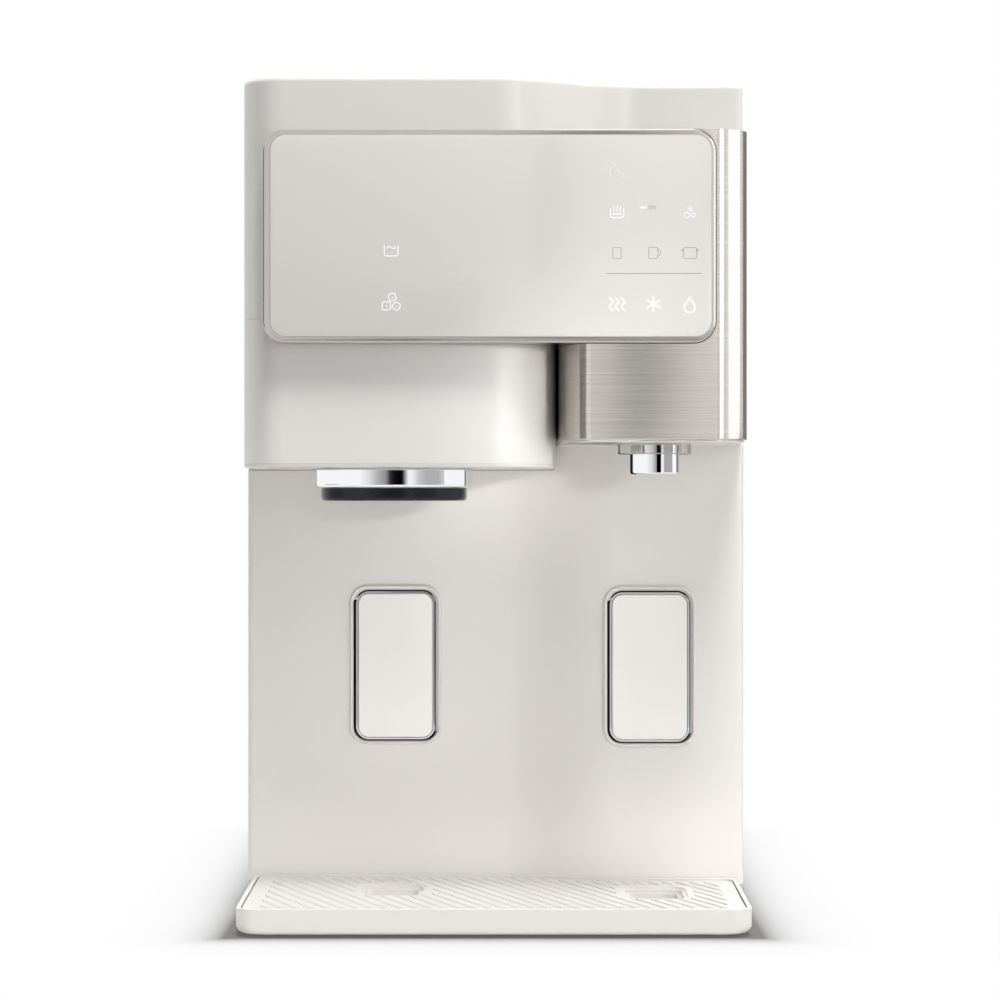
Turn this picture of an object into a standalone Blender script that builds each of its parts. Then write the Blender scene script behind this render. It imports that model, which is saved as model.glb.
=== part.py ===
"""A countertop water dispenser with an ice maker, as an assembly of separate pieces.

Run it with blender --background --python part.py, or from Blender's text editor.
Lengths are metres, +Z is up and -Y is the front. The origin is on the floor, at the middle of the
object's box. Every named object is one physical piece, and an empty stands on each joint's axis.
"""

import math

import bmesh
import bpy
from mathutils import Matrix, Vector

MM = 0.001

# Overall size, and the gaps that every piece shares
BODY_WIDTH = 300 * MM
OVERALL_DEPTH = 520 * MM
OVERALL_HEIGHT = 481.5 * MM
FITTING_REACH = 8 * MM
COVER_WALL = 2.5 * MM
SEAT_GAP = 0.3 * MM
RUN_GAP = 0.6 * MM
CUT_OVERRUN = 5 * MM

HALF_WIDTH = BODY_WIDTH / 2
FRONT_Y = -OVERALL_DEPTH / 2
REAR_Y = OVERALL_DEPTH / 2 - FITTING_REACH
INNER_X = HALF_WIDTH - COVER_WALL - SEAT_GAP

# The two bays where a cup stands, each in front of a splash wall
WATER_BAY_DEPTH = 137.5 * MM
SPLASH_STEP = 19 * MM
SPLASH_CURVE_LEFT_X = 8 * MM
SPLASH_CURVE_RIGHT_X = 66 * MM
EDGE_RADIUS = 1.5 * MM
SPLIT_BEHIND_WALL = 7 * MM
ICE_X = -58.5 * MM
WATER_X = 93.4 * MM
ICE_LEVER_SHIFT = -1.6 * MM
ICE_REACH = 62 * MM
WATER_REACH = 58 * MM

WATER_WALL_Y = FRONT_Y + WATER_BAY_DEPTH
ICE_WALL_Y = WATER_WALL_Y + SPLASH_STEP
SPLIT_Y = ICE_WALL_Y + SPLIT_BEHIND_WALL
TAP_Y = WATER_WALL_Y - WATER_REACH
CHUTE_Y = ICE_WALL_Y - ICE_REACH

# The upper housing in plan: it narrows towards the front, and its right half steps back
HOUSING_SETBACK = 20 * MM
HOUSING_FRONT_WIDTH = 284.8 * MM
CORNER_RADIUS = 25 * MM
HOOD_STEP = 33.6 * MM
HOOD_CURVE_LEFT_X = 0 * MM
HOOD_CURVE_RIGHT_X = 85 * MM
HOOD_RIGHT_RADIUS = 4 * MM
HOOD_EDGE_RADIUS = 3 * MM

HOUSING_Y = FRONT_Y + HOUSING_SETBACK
HOUSING_HALF = HOUSING_FRONT_WIDTH / 2

# Heights above the floor. The upper housing keeps its size and hangs from the top
BODY_BOTTOM_Z = 10 * MM
HOOD_HEIGHT = 136.1 * MM
ICE_HOUSING_HEIGHT = 83.8 * MM
TAP_BAY_RISE = 15.2 * MM
BAY_PLATE = 1.9 * MM
DECK_THICKNESS = 5 * MM

HOOD_SEAM_Z = OVERALL_HEIGHT - HOOD_HEIGHT
ICE_BAY_Z = HOOD_SEAM_Z - ICE_HOUSING_HEIGHT
TAP_BAY_Z = ICE_BAY_Z + TAP_BAY_RISE
DECK_Z = OVERALL_HEIGHT - DECK_THICKNESS
SIDE_TOP_Z = DECK_Z - SEAT_GAP
ICE_PLATE_TOP_Z = ICE_BAY_Z + BAY_PLATE

ARC_STEPS = 6
CURVE_STEPS = 10
ROUND_SEGMENTS = 20
SMALL_SEGMENTS = 12
TINY_SEGMENTS = 8


# Scene, materials and placing

def clear_scene():
    for thing in list(bpy.data.objects):
        bpy.data.objects.remove(thing)


def material(name, colour, roughness, metallic=0.0, alpha=1.0):
    made = bpy.data.materials.new(name)
    made.use_nodes = True
    shader = made.node_tree.nodes["Principled BSDF"]
    shader.inputs["Base Color"].default_value = (*colour, 1.0)
    shader.inputs["Roughness"].default_value = roughness
    shader.inputs["Metallic"].default_value = metallic
    shader.inputs["Alpha"].default_value = alpha
    return made


clear_scene()

WARM_WHITE = material("warm_white_abs", (0.72, 0.69, 0.65), 0.35)
SPLASH_WHITE = material("splash_wall_abs", (0.66, 0.63, 0.60), 0.42)
LEVER_WHITE = material("lever_abs", (0.80, 0.78, 0.74), 0.30)
STEEL = material("brushed_steel", (0.56, 0.53, 0.49), 0.32, 1.0)
TRIM = material("champagne_trim", (0.62, 0.58, 0.55), 0.25, 1.0)
CHROME = material("chrome", (0.80, 0.80, 0.82), 0.06, 1.0)
GLASS = material("back_painted_glass", (0.64, 0.61, 0.56), 0.12)
CLEAR = material("clear_acrylic", (0.85, 0.85, 0.85), 0.05, 0.0, 0.35)
BLACK = material("black_abs", (0.02, 0.025, 0.03), 0.25)
DARK = material("dark_grey_abs", (0.10, 0.10, 0.11), 0.5)
RUBBER = material("rubber", (0.03, 0.03, 0.03), 0.8)
GALVANISED = material("galvanised_steel", (0.55, 0.56, 0.57), 0.45, 1.0)
STAINLESS = material("stainless_steel", (0.62, 0.62, 0.63), 0.25, 1.0)
PALE = material("pale_inner_plastic", (0.75, 0.77, 0.78), 0.4)
BOARD = material("circuit_board", (0.03, 0.20, 0.10), 0.5)
ALUMINIUM = material("aluminium_fins", (0.65, 0.66, 0.68), 0.35, 1.0)
NYLON = material("blue_nylon", (0.15, 0.30, 0.60), 0.45)

ROOT = bpy.data.objects.new("dispenser", None)
bpy.context.scene.collection.objects.link(ROOT)


def axis_empty(name, place, parent=ROOT):
    """An empty on a joint's axis. The pieces that move with the joint hang from it."""
    empty = bpy.data.objects.new(name, None)
    bpy.context.scene.collection.objects.link(empty)
    empty.parent = parent
    empty.location = Vector(place) - parent.matrix_world.translation
    bpy.context.view_layer.update()
    return empty


def piece(name, mesh, look, origin=None, parent=ROOT):
    """One physical piece. Its mesh is made in world space, then its origin goes to the given point."""
    thing = bpy.data.objects.new(name, mesh)
    bpy.context.scene.collection.objects.link(thing)
    mesh.materials.clear()
    mesh.materials.append(look)
    for face in mesh.polygons:
        face.material_index = 0
    mesh.shade_smooth()
    mesh.set_sharp_from_angle(angle=math.radians(30))
    thing.parent = parent
    start = parent.matrix_world.translation
    place = Vector(origin) if origin else start
    mesh.transform(Matrix.Translation(-place))
    thing.location = place - start
    return thing


# Outlines in a plane

def arc(centre_u, centre_v, radius_u, radius_v, start_deg, end_deg, steps=ARC_STEPS):
    """Points of an elliptical arc, both ends included."""
    points = []
    for step in range(steps + 1):
        angle = math.radians(start_deg + (end_deg - start_deg) * step / steps)
        points.append((centre_u + radius_u * math.cos(angle), centre_v + radius_v * math.sin(angle)))
    return points


def rounded_rect(u_low, u_high, v_low, v_high, radius, steps=ARC_STEPS):
    return (
        arc(u_low + radius, v_low + radius, radius, radius, 180, 270, steps)
        + arc(u_high - radius, v_low + radius, radius, radius, 270, 360, steps)
        + arc(u_high - radius, v_high - radius, radius, radius, 0, 90, steps)
        + arc(u_low + radius, v_high - radius, radius, radius, 90, 180, steps)
    )


def centred_rect(centre_u, centre_v, width, height, radius, steps=ARC_STEPS):
    return rounded_rect(
        centre_u - width / 2, centre_u + width / 2, centre_v - height / 2, centre_v + height / 2,
        radius, steps)


def rect(u_low, u_high, v_low, v_high):
    return [(u_low, v_low), (u_high, v_low), (u_high, v_high), (u_low, v_high)]


def oval(centre_u, centre_v, width, depth, power, segments):
    """A superellipse: power 2 is an ellipse, and a higher power squares its corners."""
    points = []
    for step in range(segments):
        angle = 2 * math.pi * step / segments
        c, s = math.cos(angle), math.sin(angle)
        points.append((
            centre_u + math.copysign(abs(c) ** (2 / power), c) * width / 2,
            centre_v + math.copysign(abs(s) ** (2 / power), s) * depth / 2))
    return points


def s_curve(start_x, start_y, end_x, end_y, steps=CURVE_STEPS):
    """A smooth step from one straight stretch to another, both ends included."""
    points = []
    for step in range(steps + 1):
        share = step / steps
        eased = share * share * (3 - 2 * share)
        points.append((start_x + (end_x - start_x) * share, start_y + (end_y - start_y) * eased))
    return points


def offset_path(points, distance, closed=False):
    """The path moved to its left by the distance, with its corners mitred."""
    count = len(points)
    moved = []
    for index, (x, y) in enumerate(points):
        before = points[index - 1] if index or closed else points[index]
        after = points[(index + 1) % count] if index < count - 1 or closed else points[index]
        normals = []
        for first, second in ((before, (x, y)), ((x, y), after)):
            dx, dy = second[0] - first[0], second[1] - first[1]
            length = math.hypot(dx, dy)
            if length > 0:
                normals.append((-dy / length, dx / length))
        nx = sum(n[0] for n in normals)
        ny = sum(n[1] for n in normals)
        size = math.hypot(nx, ny)
        nx, ny = nx / size, ny / size
        spread = nx * normals[0][0] + ny * normals[0][1]
        moved.append((x + nx * distance / spread, y + ny * distance / spread))
    return moved


def wall_outline(path, thickness):
    """The closed outline of a wall that runs along an open path, on its left."""
    return path + offset_path(path, thickness)[::-1]


# Solids

def on_axis(point, height, axis):
    """A point of an outline, set at a height along the axis."""
    u, v = point
    return {"X": (height, u, v), "Y": (u, height, v), "Z": (u, v, height)}[axis]


def loft_mesh(outlines, heights, axis="Z"):
    """A solid through outlines of equal point counts, one for each height along the axis."""
    work = bmesh.new()
    rings = [[work.verts.new(on_axis(p, h, axis)) for p in o] for o, h in zip(outlines, heights)]
    edges = []
    for ring in rings:
        loop = [work.edges.new((ring[i], ring[(i + 1) % len(ring)])) for i in range(len(ring))]
        edges.append(loop)
    for lower, upper in zip(rings, rings[1:]):
        for i in range(len(lower)):
            j = (i + 1) % len(lower)
            work.faces.new((lower[i], lower[j], upper[j], upper[i]))
    work.faces.new(rings[0][::-1])
    work.faces.new(rings[-1])
    return finished(work)


def prism(outline, low, high, axis="Z"):
    """A solid of one outline pushed from low to high along the axis."""
    work = bmesh.new()
    face = work.faces.new([work.verts.new(on_axis(p, low, axis)) for p in outline])
    pushed = bmesh.ops.extrude_face_region(work, geom=[face])
    moved = [v for v in pushed["geom"] if isinstance(v, bmesh.types.BMVert)]
    push = Vector(on_axis((0, 0), high - low, axis))
    bmesh.ops.translate(work, verts=moved, vec=push)
    return finished(work)


def finished(work, weld=0.0):
    if weld:
        bmesh.ops.remove_doubles(work, verts=work.verts, dist=weld)
    bmesh.ops.recalc_face_normals(work, faces=work.faces)
    if work.calc_volume(signed=True) < 0:
        bmesh.ops.reverse_faces(work, faces=work.faces)
    mesh = bpy.data.meshes.new("solid")
    work.to_mesh(mesh)
    work.free()
    return mesh


def box(x_low, x_high, y_low, y_high, z_low, z_high):
    return prism(rect(x_low, x_high, y_low, y_high), z_low, z_high)


def turned(profile, centre, axis="Z", segments=ROUND_SEGMENTS):
    """A solid spun from a profile of (radius, height along the axis) points about the centre.

    A profile that starts and ends on the axis gives a solid, and a closed one gives a ring."""
    on_axis_ends = profile[0][0] == 0 and profile[-1][0] == 0
    work = bmesh.new()
    verts = [work.verts.new((r, 0, h)) for r, h in profile]
    edges = [work.edges.new(pair) for pair in zip(verts, verts[1:])]
    if not on_axis_ends:
        edges.append(work.edges.new((verts[-1], verts[0])))
    bmesh.ops.spin(
        work, geom=verts + edges, cent=(0, 0, 0), axis=(0, 0, 1), dvec=(0, 0, 0),
        angle=2 * math.pi, steps=segments, use_merge=False)
    mesh = finished(work, weld=SEAT_GAP / 100)
    turn = {
        "Z": Matrix.Identity(4),
        "Y": Matrix.Rotation(math.radians(-90), 4, "X"),
        "X": Matrix.Rotation(math.radians(90), 4, "Y"),
    }[axis]
    mesh.transform(Matrix.Translation(Vector(centre)) @ turn)
    return mesh


def rod(centre, radius, low, high, axis="Z", segments=SMALL_SEGMENTS):
    """A plain cylinder from low to high along the axis, measured from the centre."""
    return turned([(0, low), (radius, low), (radius, high), (0, high)], centre, axis, segments)


def boolean(mesh, tools, operation):
    """The mesh after one exact Boolean with each tool in turn."""
    scene = bpy.context.scene.collection
    target = bpy.data.objects.new("target", mesh)
    scene.objects.link(target)
    helpers = []
    for tool in tools:
        helper = bpy.data.objects.new("tool", tool)
        scene.objects.link(helper)
        modifier = target.modifiers.new("boolean", "BOOLEAN")
        modifier.operation = operation
        modifier.solver = "EXACT"
        modifier.object = helper
        helpers.append(helper)
    graph = bpy.context.evaluated_depsgraph_get()
    result = bpy.data.meshes.new_from_object(target.evaluated_get(graph))
    for helper in [target] + helpers:
        bpy.data.objects.remove(helper)
    return result


def cut(mesh, *tools):
    return boolean(mesh, tools, "DIFFERENCE")


def fuse(mesh, *tools):
    return boolean(mesh, tools, "UNION")


def together(*meshes):
    """Solids that don't touch, as one mesh, for a Boolean that joins them."""
    work = bmesh.new()
    for mesh in meshes:
        work.from_mesh(mesh)
    return finished(work)


# Plan lines of the housing

def left_front_corner(extra=0.0):
    """From the left cover split to the front face, round the big left corner."""
    half = HOUSING_HALF + extra
    return [(-HALF_WIDTH, SPLIT_Y - SEAT_GAP)] + arc(
        -half + CORNER_RADIUS, HOUSING_Y + CORNER_RADIUS, CORNER_RADIUS, CORNER_RADIUS, 180, 270)


def hood_path():
    """The white hood's front in plan, from the left split round the front to the right split."""
    step_y = HOUSING_Y + HOOD_STEP
    return (
        left_front_corner()
        + s_curve(HOOD_CURVE_LEFT_X, HOUSING_Y, HOOD_CURVE_RIGHT_X, step_y)
        + arc(HOUSING_HALF - HOOD_RIGHT_RADIUS, step_y + HOOD_RIGHT_RADIUS,
              HOOD_RIGHT_RADIUS, HOOD_RIGHT_RADIUS, 270, 360, 2)
        + [(HALF_WIDTH, SPLIT_Y - SEAT_GAP)]
    )


def splash_path():
    """The splash wall's front in plan, with its return on each side."""
    radius = COVER_WALL + EDGE_RADIUS
    return (
        [(-HALF_WIDTH, SPLIT_Y - SEAT_GAP)]
        + arc(-HALF_WIDTH + radius, ICE_WALL_Y + radius, radius, radius, 180, 270, 2)
        + s_curve(SPLASH_CURVE_LEFT_X, ICE_WALL_Y, SPLASH_CURVE_RIGHT_X, WATER_WALL_Y)
        + arc(HALF_WIDTH - radius, WATER_WALL_Y + radius, radius, radius, 270, 360, 2)
        + [(HALF_WIDTH, SPLIT_Y - SEAT_GAP)]
    )


# Base pan and feet

PAN_HEIGHT = 14 * MM
PAN_WALL = 2 * MM
PAN_INSET = 6 * MM
FOOT_RADIUS = 12 * MM
FOOT_INSET = 28 * MM

PAN_TOP_Z = BODY_BOTTOM_Z + PAN_WALL
PAN_FRONT_Y = SPLIT_Y + PAN_INSET
PAN_REAR_Y = REAR_Y - COVER_WALL - SEAT_GAP


def build_base():
    pan = box(-INNER_X, INNER_X, PAN_FRONT_Y, PAN_REAR_Y, BODY_BOTTOM_Z, BODY_BOTTOM_Z + PAN_HEIGHT)
    hollow = box(
        -INNER_X + PAN_WALL, INNER_X - PAN_WALL, PAN_FRONT_Y + PAN_WALL, PAN_REAR_Y - PAN_WALL,
        PAN_TOP_Z, BODY_BOTTOM_Z + PAN_HEIGHT + CUT_OVERRUN)
    piece("base_pan", cut(pan, hollow), GALVANISED, (0, 0, BODY_BOTTOM_Z))
    for side, x in (("left", -INNER_X + FOOT_INSET), ("right", INNER_X - FOOT_INSET)):
        for end, y in (("front", PAN_FRONT_Y + FOOT_INSET), ("rear", PAN_REAR_Y - FOOT_INSET)):
            foot = rod((x, y, 0), FOOT_RADIUS, 0, BODY_BOTTOM_Z - SEAT_GAP)
            piece("foot_" + end + "_" + side, foot, RUBBER, (x, y, 0))


# Splash wall, side covers and rear cover

LEVER_RISE = 7.4 * MM
LEVER_WINDOW_WIDTH = 51 * MM
LEVER_WINDOW_HEIGHT = 92.4 * MM
LEVER_WINDOW_RADIUS = 8.5 * MM
LIP_WIDTH = 1.6 * MM
LIP_PROUD = 1.2 * MM
SPLASH_BOTTOM_Z = 12 * MM
ICE_END_X = 36 * MM

LEVER_Z = (BODY_BOTTOM_Z + ICE_BAY_Z) / 2 + LEVER_RISE
LEVERS = (("ice", ICE_X + ICE_LEVER_SHIFT, ICE_WALL_Y), ("water", WATER_X, WATER_WALL_Y))


def build_splash_wall():
    wall = prism(wall_outline(splash_path(), COVER_WALL), SPLASH_BOTTOM_Z, TAP_BAY_Z - SEAT_GAP)
    lips = []
    windows = []
    for _, x, y in LEVERS:
        window = centred_rect(x, LEVER_Z, LEVER_WINDOW_WIDTH, LEVER_WINDOW_HEIGHT, LEVER_WINDOW_RADIUS)
        lip = offset_path(window, -LIP_WIDTH, closed=True)
        lips.append(prism(lip, y - LIP_PROUD, y + COVER_WALL / 2, "Y"))
        windows.append(prism(window, y - CUT_OVERRUN, y + COVER_WALL + CUT_OVERRUN, "Y"))
    step = box(
        -HALF_WIDTH - CUT_OVERRUN, ICE_END_X + SEAT_GAP, WATER_WALL_Y - CUT_OVERRUN, SPLIT_Y + CUT_OVERRUN,
        ICE_BAY_Z - SEAT_GAP, TAP_BAY_Z + CUT_OVERRUN)
    piece("lower_front_cover", cut(fuse(wall, *lips), step, *windows), SPLASH_WHITE,
          (0, WATER_WALL_Y, SPLASH_BOTTOM_Z))


VENT_COUNT = 9
VENT_PITCH = 11 * MM
VENT_HEIGHT = 3.5 * MM
SIDE_VENT_LENGTH = 90 * MM
SIDE_VENT_Y = 150 * MM
VENT_Z = 60 * MM
REAR_VENT_LENGTH = 104 * MM
REAR_VENT_COUNT = 12
CONDENSER_X = 76 * MM


def build_side_covers():
    for name, sign in (("left_side_cover", -1), ("right_side_cover", 1)):
        outer, inner = sign * HALF_WIDTH, sign * (HALF_WIDTH - COVER_WALL)
        cover = box(min(outer, inner), max(outer, inner), SPLIT_Y, REAR_Y, BODY_BOTTOM_Z, SIDE_TOP_Z)
        slots = []
        for row in range(VENT_COUNT):
            z = VENT_Z + row * VENT_PITCH
            slots.append(box(
                min(outer, inner) - CUT_OVERRUN, max(outer, inner) + CUT_OVERRUN,
                SIDE_VENT_Y - SIDE_VENT_LENGTH / 2, SIDE_VENT_Y + SIDE_VENT_LENGTH / 2, z, z + VENT_HEIGHT))
        piece(name, cut(cover, *slots), WARM_WHITE, (outer, 0, BODY_BOTTOM_Z))


SOCKET_X = -104 * MM
SOCKET_DROP = 151.5 * MM
SOCKET_WIDTH = 28 * MM
SOCKET_HEIGHT = 48 * MM
SWITCH_WIDTH = 15 * MM
SWITCH_HEIGHT = 21 * MM
SWITCH_X = -66 * MM
FITTING_XS = (-118 * MM, -88 * MM)
FITTING_Z = 46 * MM
FITTING_HOLE_RADIUS = 7 * MM
SCREW_INSET = 9 * MM
SOCKET_Z = OVERALL_HEIGHT - SOCKET_DROP
SCREW_ROWS = 4
SCREW_HOLE_RADIUS = 2.2 * MM


def screw_places():
    """Screws down both edges of the rear cover, and one at the middle of its top and bottom."""
    low, high = BODY_BOTTOM_Z + SCREW_INSET, SIDE_TOP_Z - SCREW_INSET
    edge = INNER_X - SCREW_INSET
    places = [
        (sign * edge, low + (high - low) * row / (SCREW_ROWS - 1))
        for sign in (-1, 1) for row in range(SCREW_ROWS)]
    return places + [(0, low), (0, high)]


def build_rear_cover():
    cover = box(-INNER_X, INNER_X, REAR_Y - COVER_WALL, REAR_Y, BODY_BOTTOM_Z, SIDE_TOP_Z)
    low, high = REAR_Y - COVER_WALL - CUT_OVERRUN, REAR_Y + CUT_OVERRUN
    tools = []
    reach = REAR_VENT_LENGTH / 2
    for row in range(REAR_VENT_COUNT):
        z = VENT_Z + row * VENT_PITCH
        tools.append(box(CONDENSER_X - reach, CONDENSER_X + reach, low, high, z, z + VENT_HEIGHT))
    tools.append(prism(rect(
        SOCKET_X - SOCKET_WIDTH / 2, SOCKET_X + SOCKET_WIDTH / 2,
        SOCKET_Z - SOCKET_HEIGHT / 2, SOCKET_Z + SOCKET_HEIGHT / 2), low, high, "Y"))
    tools.append(prism(rect(
        SWITCH_X - SWITCH_WIDTH / 2, SWITCH_X + SWITCH_WIDTH / 2,
        SOCKET_Z - SWITCH_HEIGHT / 2, SOCKET_Z + SWITCH_HEIGHT / 2), low, high, "Y"))
    for x in FITTING_XS:
        tools.append(rod((x, 0, FITTING_Z), FITTING_HOLE_RADIUS, low, high, "Y"))
    for x, z in screw_places():
        tools.append(rod((x, 0, z), SCREW_HOLE_RADIUS, low, high, "Y", TINY_SEGMENTS))
    piece("rear_cover", cut(cover, *tools), GALVANISED, (0, REAR_Y, BODY_BOTTOM_Z))


# Top deck and the lid that opens over the ice bin

LID_WIDTH = 252 * MM
LID_FRONT_Y = -84 * MM
LID_HINGE_Y = 150 * MM
LID_THICKNESS = 2.5 * MM
LID_BARREL_RADIUS = 2.4 * MM
LID_GAP = 0.8 * MM
LID_LEDGE = 6 * MM
LID_PIN_RADIUS = 1.2 * MM
LID_PIN_LENGTH = 5 * MM
LID_PIN_PLAY = 0.2 * MM

LID_HINGE_Z = OVERALL_HEIGHT - LID_BARREL_RADIUS


def build_deck_and_lid():
    half = LID_WIDTH / 2
    rear = LID_HINGE_Y + LID_BARREL_RADIUS + LID_GAP
    seat_z = OVERALL_HEIGHT - LID_THICKNESS - SEAT_GAP
    deck = box(-HALF_WIDTH, HALF_WIDTH, SPLIT_Y, REAR_Y, DECK_Z, OVERALL_HEIGHT)
    recess = box(
        -half - LID_GAP, half + LID_GAP, LID_FRONT_Y - LID_GAP, rear, seat_z, OVERALL_HEIGHT + CUT_OVERRUN)
    hole = box(
        -half + LID_LEDGE, half - LID_LEDGE, LID_FRONT_Y + LID_LEDGE, LID_HINGE_Y - LID_LEDGE,
        DECK_Z - CUT_OVERRUN, seat_z + CUT_OVERRUN)
    groove = box(
        -half - LID_GAP, half + LID_GAP, LID_HINGE_Y - LID_BARREL_RADIUS - LID_GAP, rear,
        DECK_Z - CUT_OVERRUN, seat_z + CUT_OVERRUN)
    reach = half + LID_PIN_LENGTH + SEAT_GAP
    bore = rod((0, LID_HINGE_Y, LID_HINGE_Z), LID_PIN_RADIUS + LID_PIN_PLAY, -reach, reach, "X")
    piece("top_deck", cut(deck, recess, hole, groove, bore), WARM_WHITE, (0, 0, DECK_Z))
    hinge = axis_empty("lid_hinge", (0, LID_HINGE_Y, LID_HINGE_Z))
    plate = box(-half, half, LID_FRONT_Y, LID_HINGE_Y, OVERALL_HEIGHT - LID_THICKNESS, OVERALL_HEIGHT)
    barrel = rod((0, LID_HINGE_Y, LID_HINGE_Z), LID_BARREL_RADIUS, -half, half, "X")
    pins = rod(
        (0, LID_HINGE_Y, LID_HINGE_Z), LID_PIN_RADIUS, -half - LID_PIN_LENGTH, half + LID_PIN_LENGTH, "X",
        TINY_SEGMENTS)
    piece("top_lid", fuse(plate, barrel, pins), WARM_WHITE, parent=hinge)


# Hood over the front, and the ice housing under it

METAL_DROP = 30.9 * MM
METAL_TOP_Z = OVERALL_HEIGHT - METAL_DROP
METAL_LEFT_GAP = 1 * MM

METAL_LEFT_X = ICE_END_X + METAL_LEFT_GAP


def region(path, inset=0.0, rear=SPLIT_Y - SEAT_GAP):
    """The filled plan inside a front path, drawn in by the inset, with its rear ends at the given depth."""
    points = offset_path(path, inset) if inset else list(path)
    return [(points[0][0], rear)] + points[1:-1] + [(points[-1][0], rear)]


def shell(path, wall, low, high):
    """A front cover's wall, open at the top, the bottom and the rear."""
    rear = SPLIT_Y + CUT_OVERRUN
    return cut(
        prism(region(path), low, high),
        prism(region(path, wall, rear), low - CUT_OVERRUN, high + CUT_OVERRUN))


def build_hood():
    path = hood_path()
    slope = math.sqrt(0.5)
    drawn_in = [0.0, 0.0, HOOD_EDGE_RADIUS * (1 - slope), HOOD_EDGE_RADIUS]
    heights = [
        HOOD_SEAM_Z, OVERALL_HEIGHT - HOOD_EDGE_RADIUS,
        OVERALL_HEIGHT - HOOD_EDGE_RADIUS * (1 - slope), OVERALL_HEIGHT]
    body = loft_mesh([region(path, inset) for inset in drawn_in], heights)
    rear = SPLIT_Y + CUT_OVERRUN
    hollow = prism(region(path, COVER_WALL, rear), HOOD_SEAM_Z - CUT_OVERRUN, OVERALL_HEIGHT - COVER_WALL)
    metal_bay = box(
        METAL_LEFT_X - SEAT_GAP, HALF_WIDTH + CUT_OVERRUN, FRONT_Y, rear,
        HOOD_SEAM_Z - CUT_OVERRUN, METAL_TOP_Z + SEAT_GAP)
    piece("hood", cut(body, hollow, metal_bay), WARM_WHITE, (0, HOUSING_Y, HOOD_SEAM_Z))


ICE_CORNER_WIDTH = 42 * MM
ICE_CORNER_DEPTH = 70 * MM


def ice_path():
    """The ice housing in plan: the big left corner, a flat front and a long rounded right end."""
    return (
        left_front_corner()
        + arc(ICE_END_X - ICE_CORNER_WIDTH, HOUSING_Y + ICE_CORNER_DEPTH,
              ICE_CORNER_WIDTH, ICE_CORNER_DEPTH, 270, 360, CURVE_STEPS)
        + [(ICE_END_X, SPLIT_Y - SEAT_GAP)]
    )


CHUTE_WIDTH = 62 * MM
CHUTE_DEPTH = 46 * MM
CHUTE_WALL = 2 * MM
RING_WIDTH = 92 * MM
RING_DEPTH = 70 * MM
RING_DROP = 11 * MM
RING_BOTTOM_Z = ICE_BAY_Z - RING_DROP
MOUTH_WIDTH = 85.2 * MM
MOUTH_DEPTH = 63 * MM
MOUTH_DROP = 7.8 * MM
MOUTH_BOTTOM_Z = RING_BOTTOM_Z - MOUTH_DROP
MOUTH_WALL = 4 * MM
RING_POWER = 3.2
RING_SEGMENTS = 36


def build_ice_housing():
    housing = shell(ice_path(), COVER_WALL, ICE_PLATE_TOP_Z + SEAT_GAP, HOOD_SEAM_Z - SEAT_GAP)
    piece("ice_housing", housing, WARM_WHITE, (0, HOUSING_Y, ICE_BAY_Z))
    plate = prism(region(ice_path()), ICE_BAY_Z, ICE_PLATE_TOP_Z)
    hole = prism(
        centred_rect(ICE_X, CHUTE_Y, CHUTE_WIDTH, CHUTE_DEPTH, EDGE_RADIUS, 1),
        ICE_BAY_Z - CUT_OVERRUN, ICE_PLATE_TOP_Z + CUT_OVERRUN)
    piece("ice_housing_base", cut(plate, hole), WARM_WHITE, (0, HOUSING_Y, ICE_BAY_Z))


def build_chute_ring_and_mouth():
    inner_width = MOUTH_WIDTH - 2 * MOUTH_WALL
    inner_depth = MOUTH_DEPTH - 2 * MOUTH_WALL
    ring_top = ICE_BAY_Z - SEAT_GAP
    bore = prism(
        oval(ICE_X, CHUTE_Y, inner_width, inner_depth, RING_POWER, RING_SEGMENTS),
        MOUTH_BOTTOM_Z - CUT_OVERRUN, ICE_BAY_Z + CUT_OVERRUN)
    ring_outline = oval(ICE_X, CHUTE_Y, RING_WIDTH, RING_DEPTH, RING_POWER, RING_SEGMENTS)
    ring_foot = oval(
        ICE_X, CHUTE_Y, RING_WIDTH - 2 * EDGE_RADIUS, RING_DEPTH - 2 * EDGE_RADIUS, RING_POWER, RING_SEGMENTS)
    ring = loft_mesh([ring_foot, ring_outline, ring_outline],
                     [RING_BOTTOM_Z, RING_BOTTOM_Z + EDGE_RADIUS, ring_top])
    piece("ice_chute_ring", cut(ring, bore.copy()), CHROME, (ICE_X, CHUTE_Y, RING_BOTTOM_Z))
    mouth = prism(
        oval(ICE_X, CHUTE_Y, MOUTH_WIDTH, MOUTH_DEPTH, RING_POWER, RING_SEGMENTS),
        MOUTH_BOTTOM_Z, RING_BOTTOM_Z - SEAT_GAP)
    piece("ice_chute_mouth", cut(mouth, bore), BLACK, (ICE_X, CHUTE_Y, MOUTH_BOTTOM_Z))


# Metal cover over the water side, its base plate, the tap and its collar

METAL_SETBACK = 10 * MM
METAL_WALL = 1.5 * MM
METAL_FRONT_HALF = 142.8 * MM
METAL_CORNER_WIDTH = 17 * MM
METAL_CORNER_DEPTH = 47 * MM
METAL_RIGHT_RADIUS = 20 * MM
TAP_PLATE_RECESS = 0.6 * MM
TAP_PLATE_THICKNESS = 2 * MM
NOZZLE_RADIUS = 14.3 * MM
NOZZLE_DROP = 18.5 * MM
NOZZLE_BOTTOM_Z = TAP_BAY_Z - NOZZLE_DROP
NOZZLE_BORE_RADIUS = 7 * MM
INLET_BORE_RADIUS = 1.8 * MM
SPIGOT_RADIUS = 10 * MM
SPIGOT_RISE = 10 * MM
COLLAR_RADIUS = 21.4 * MM
COLLAR_DROP = 6.9 * MM
COLLAR_BOTTOM_Z = TAP_BAY_Z - COLLAR_DROP

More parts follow.
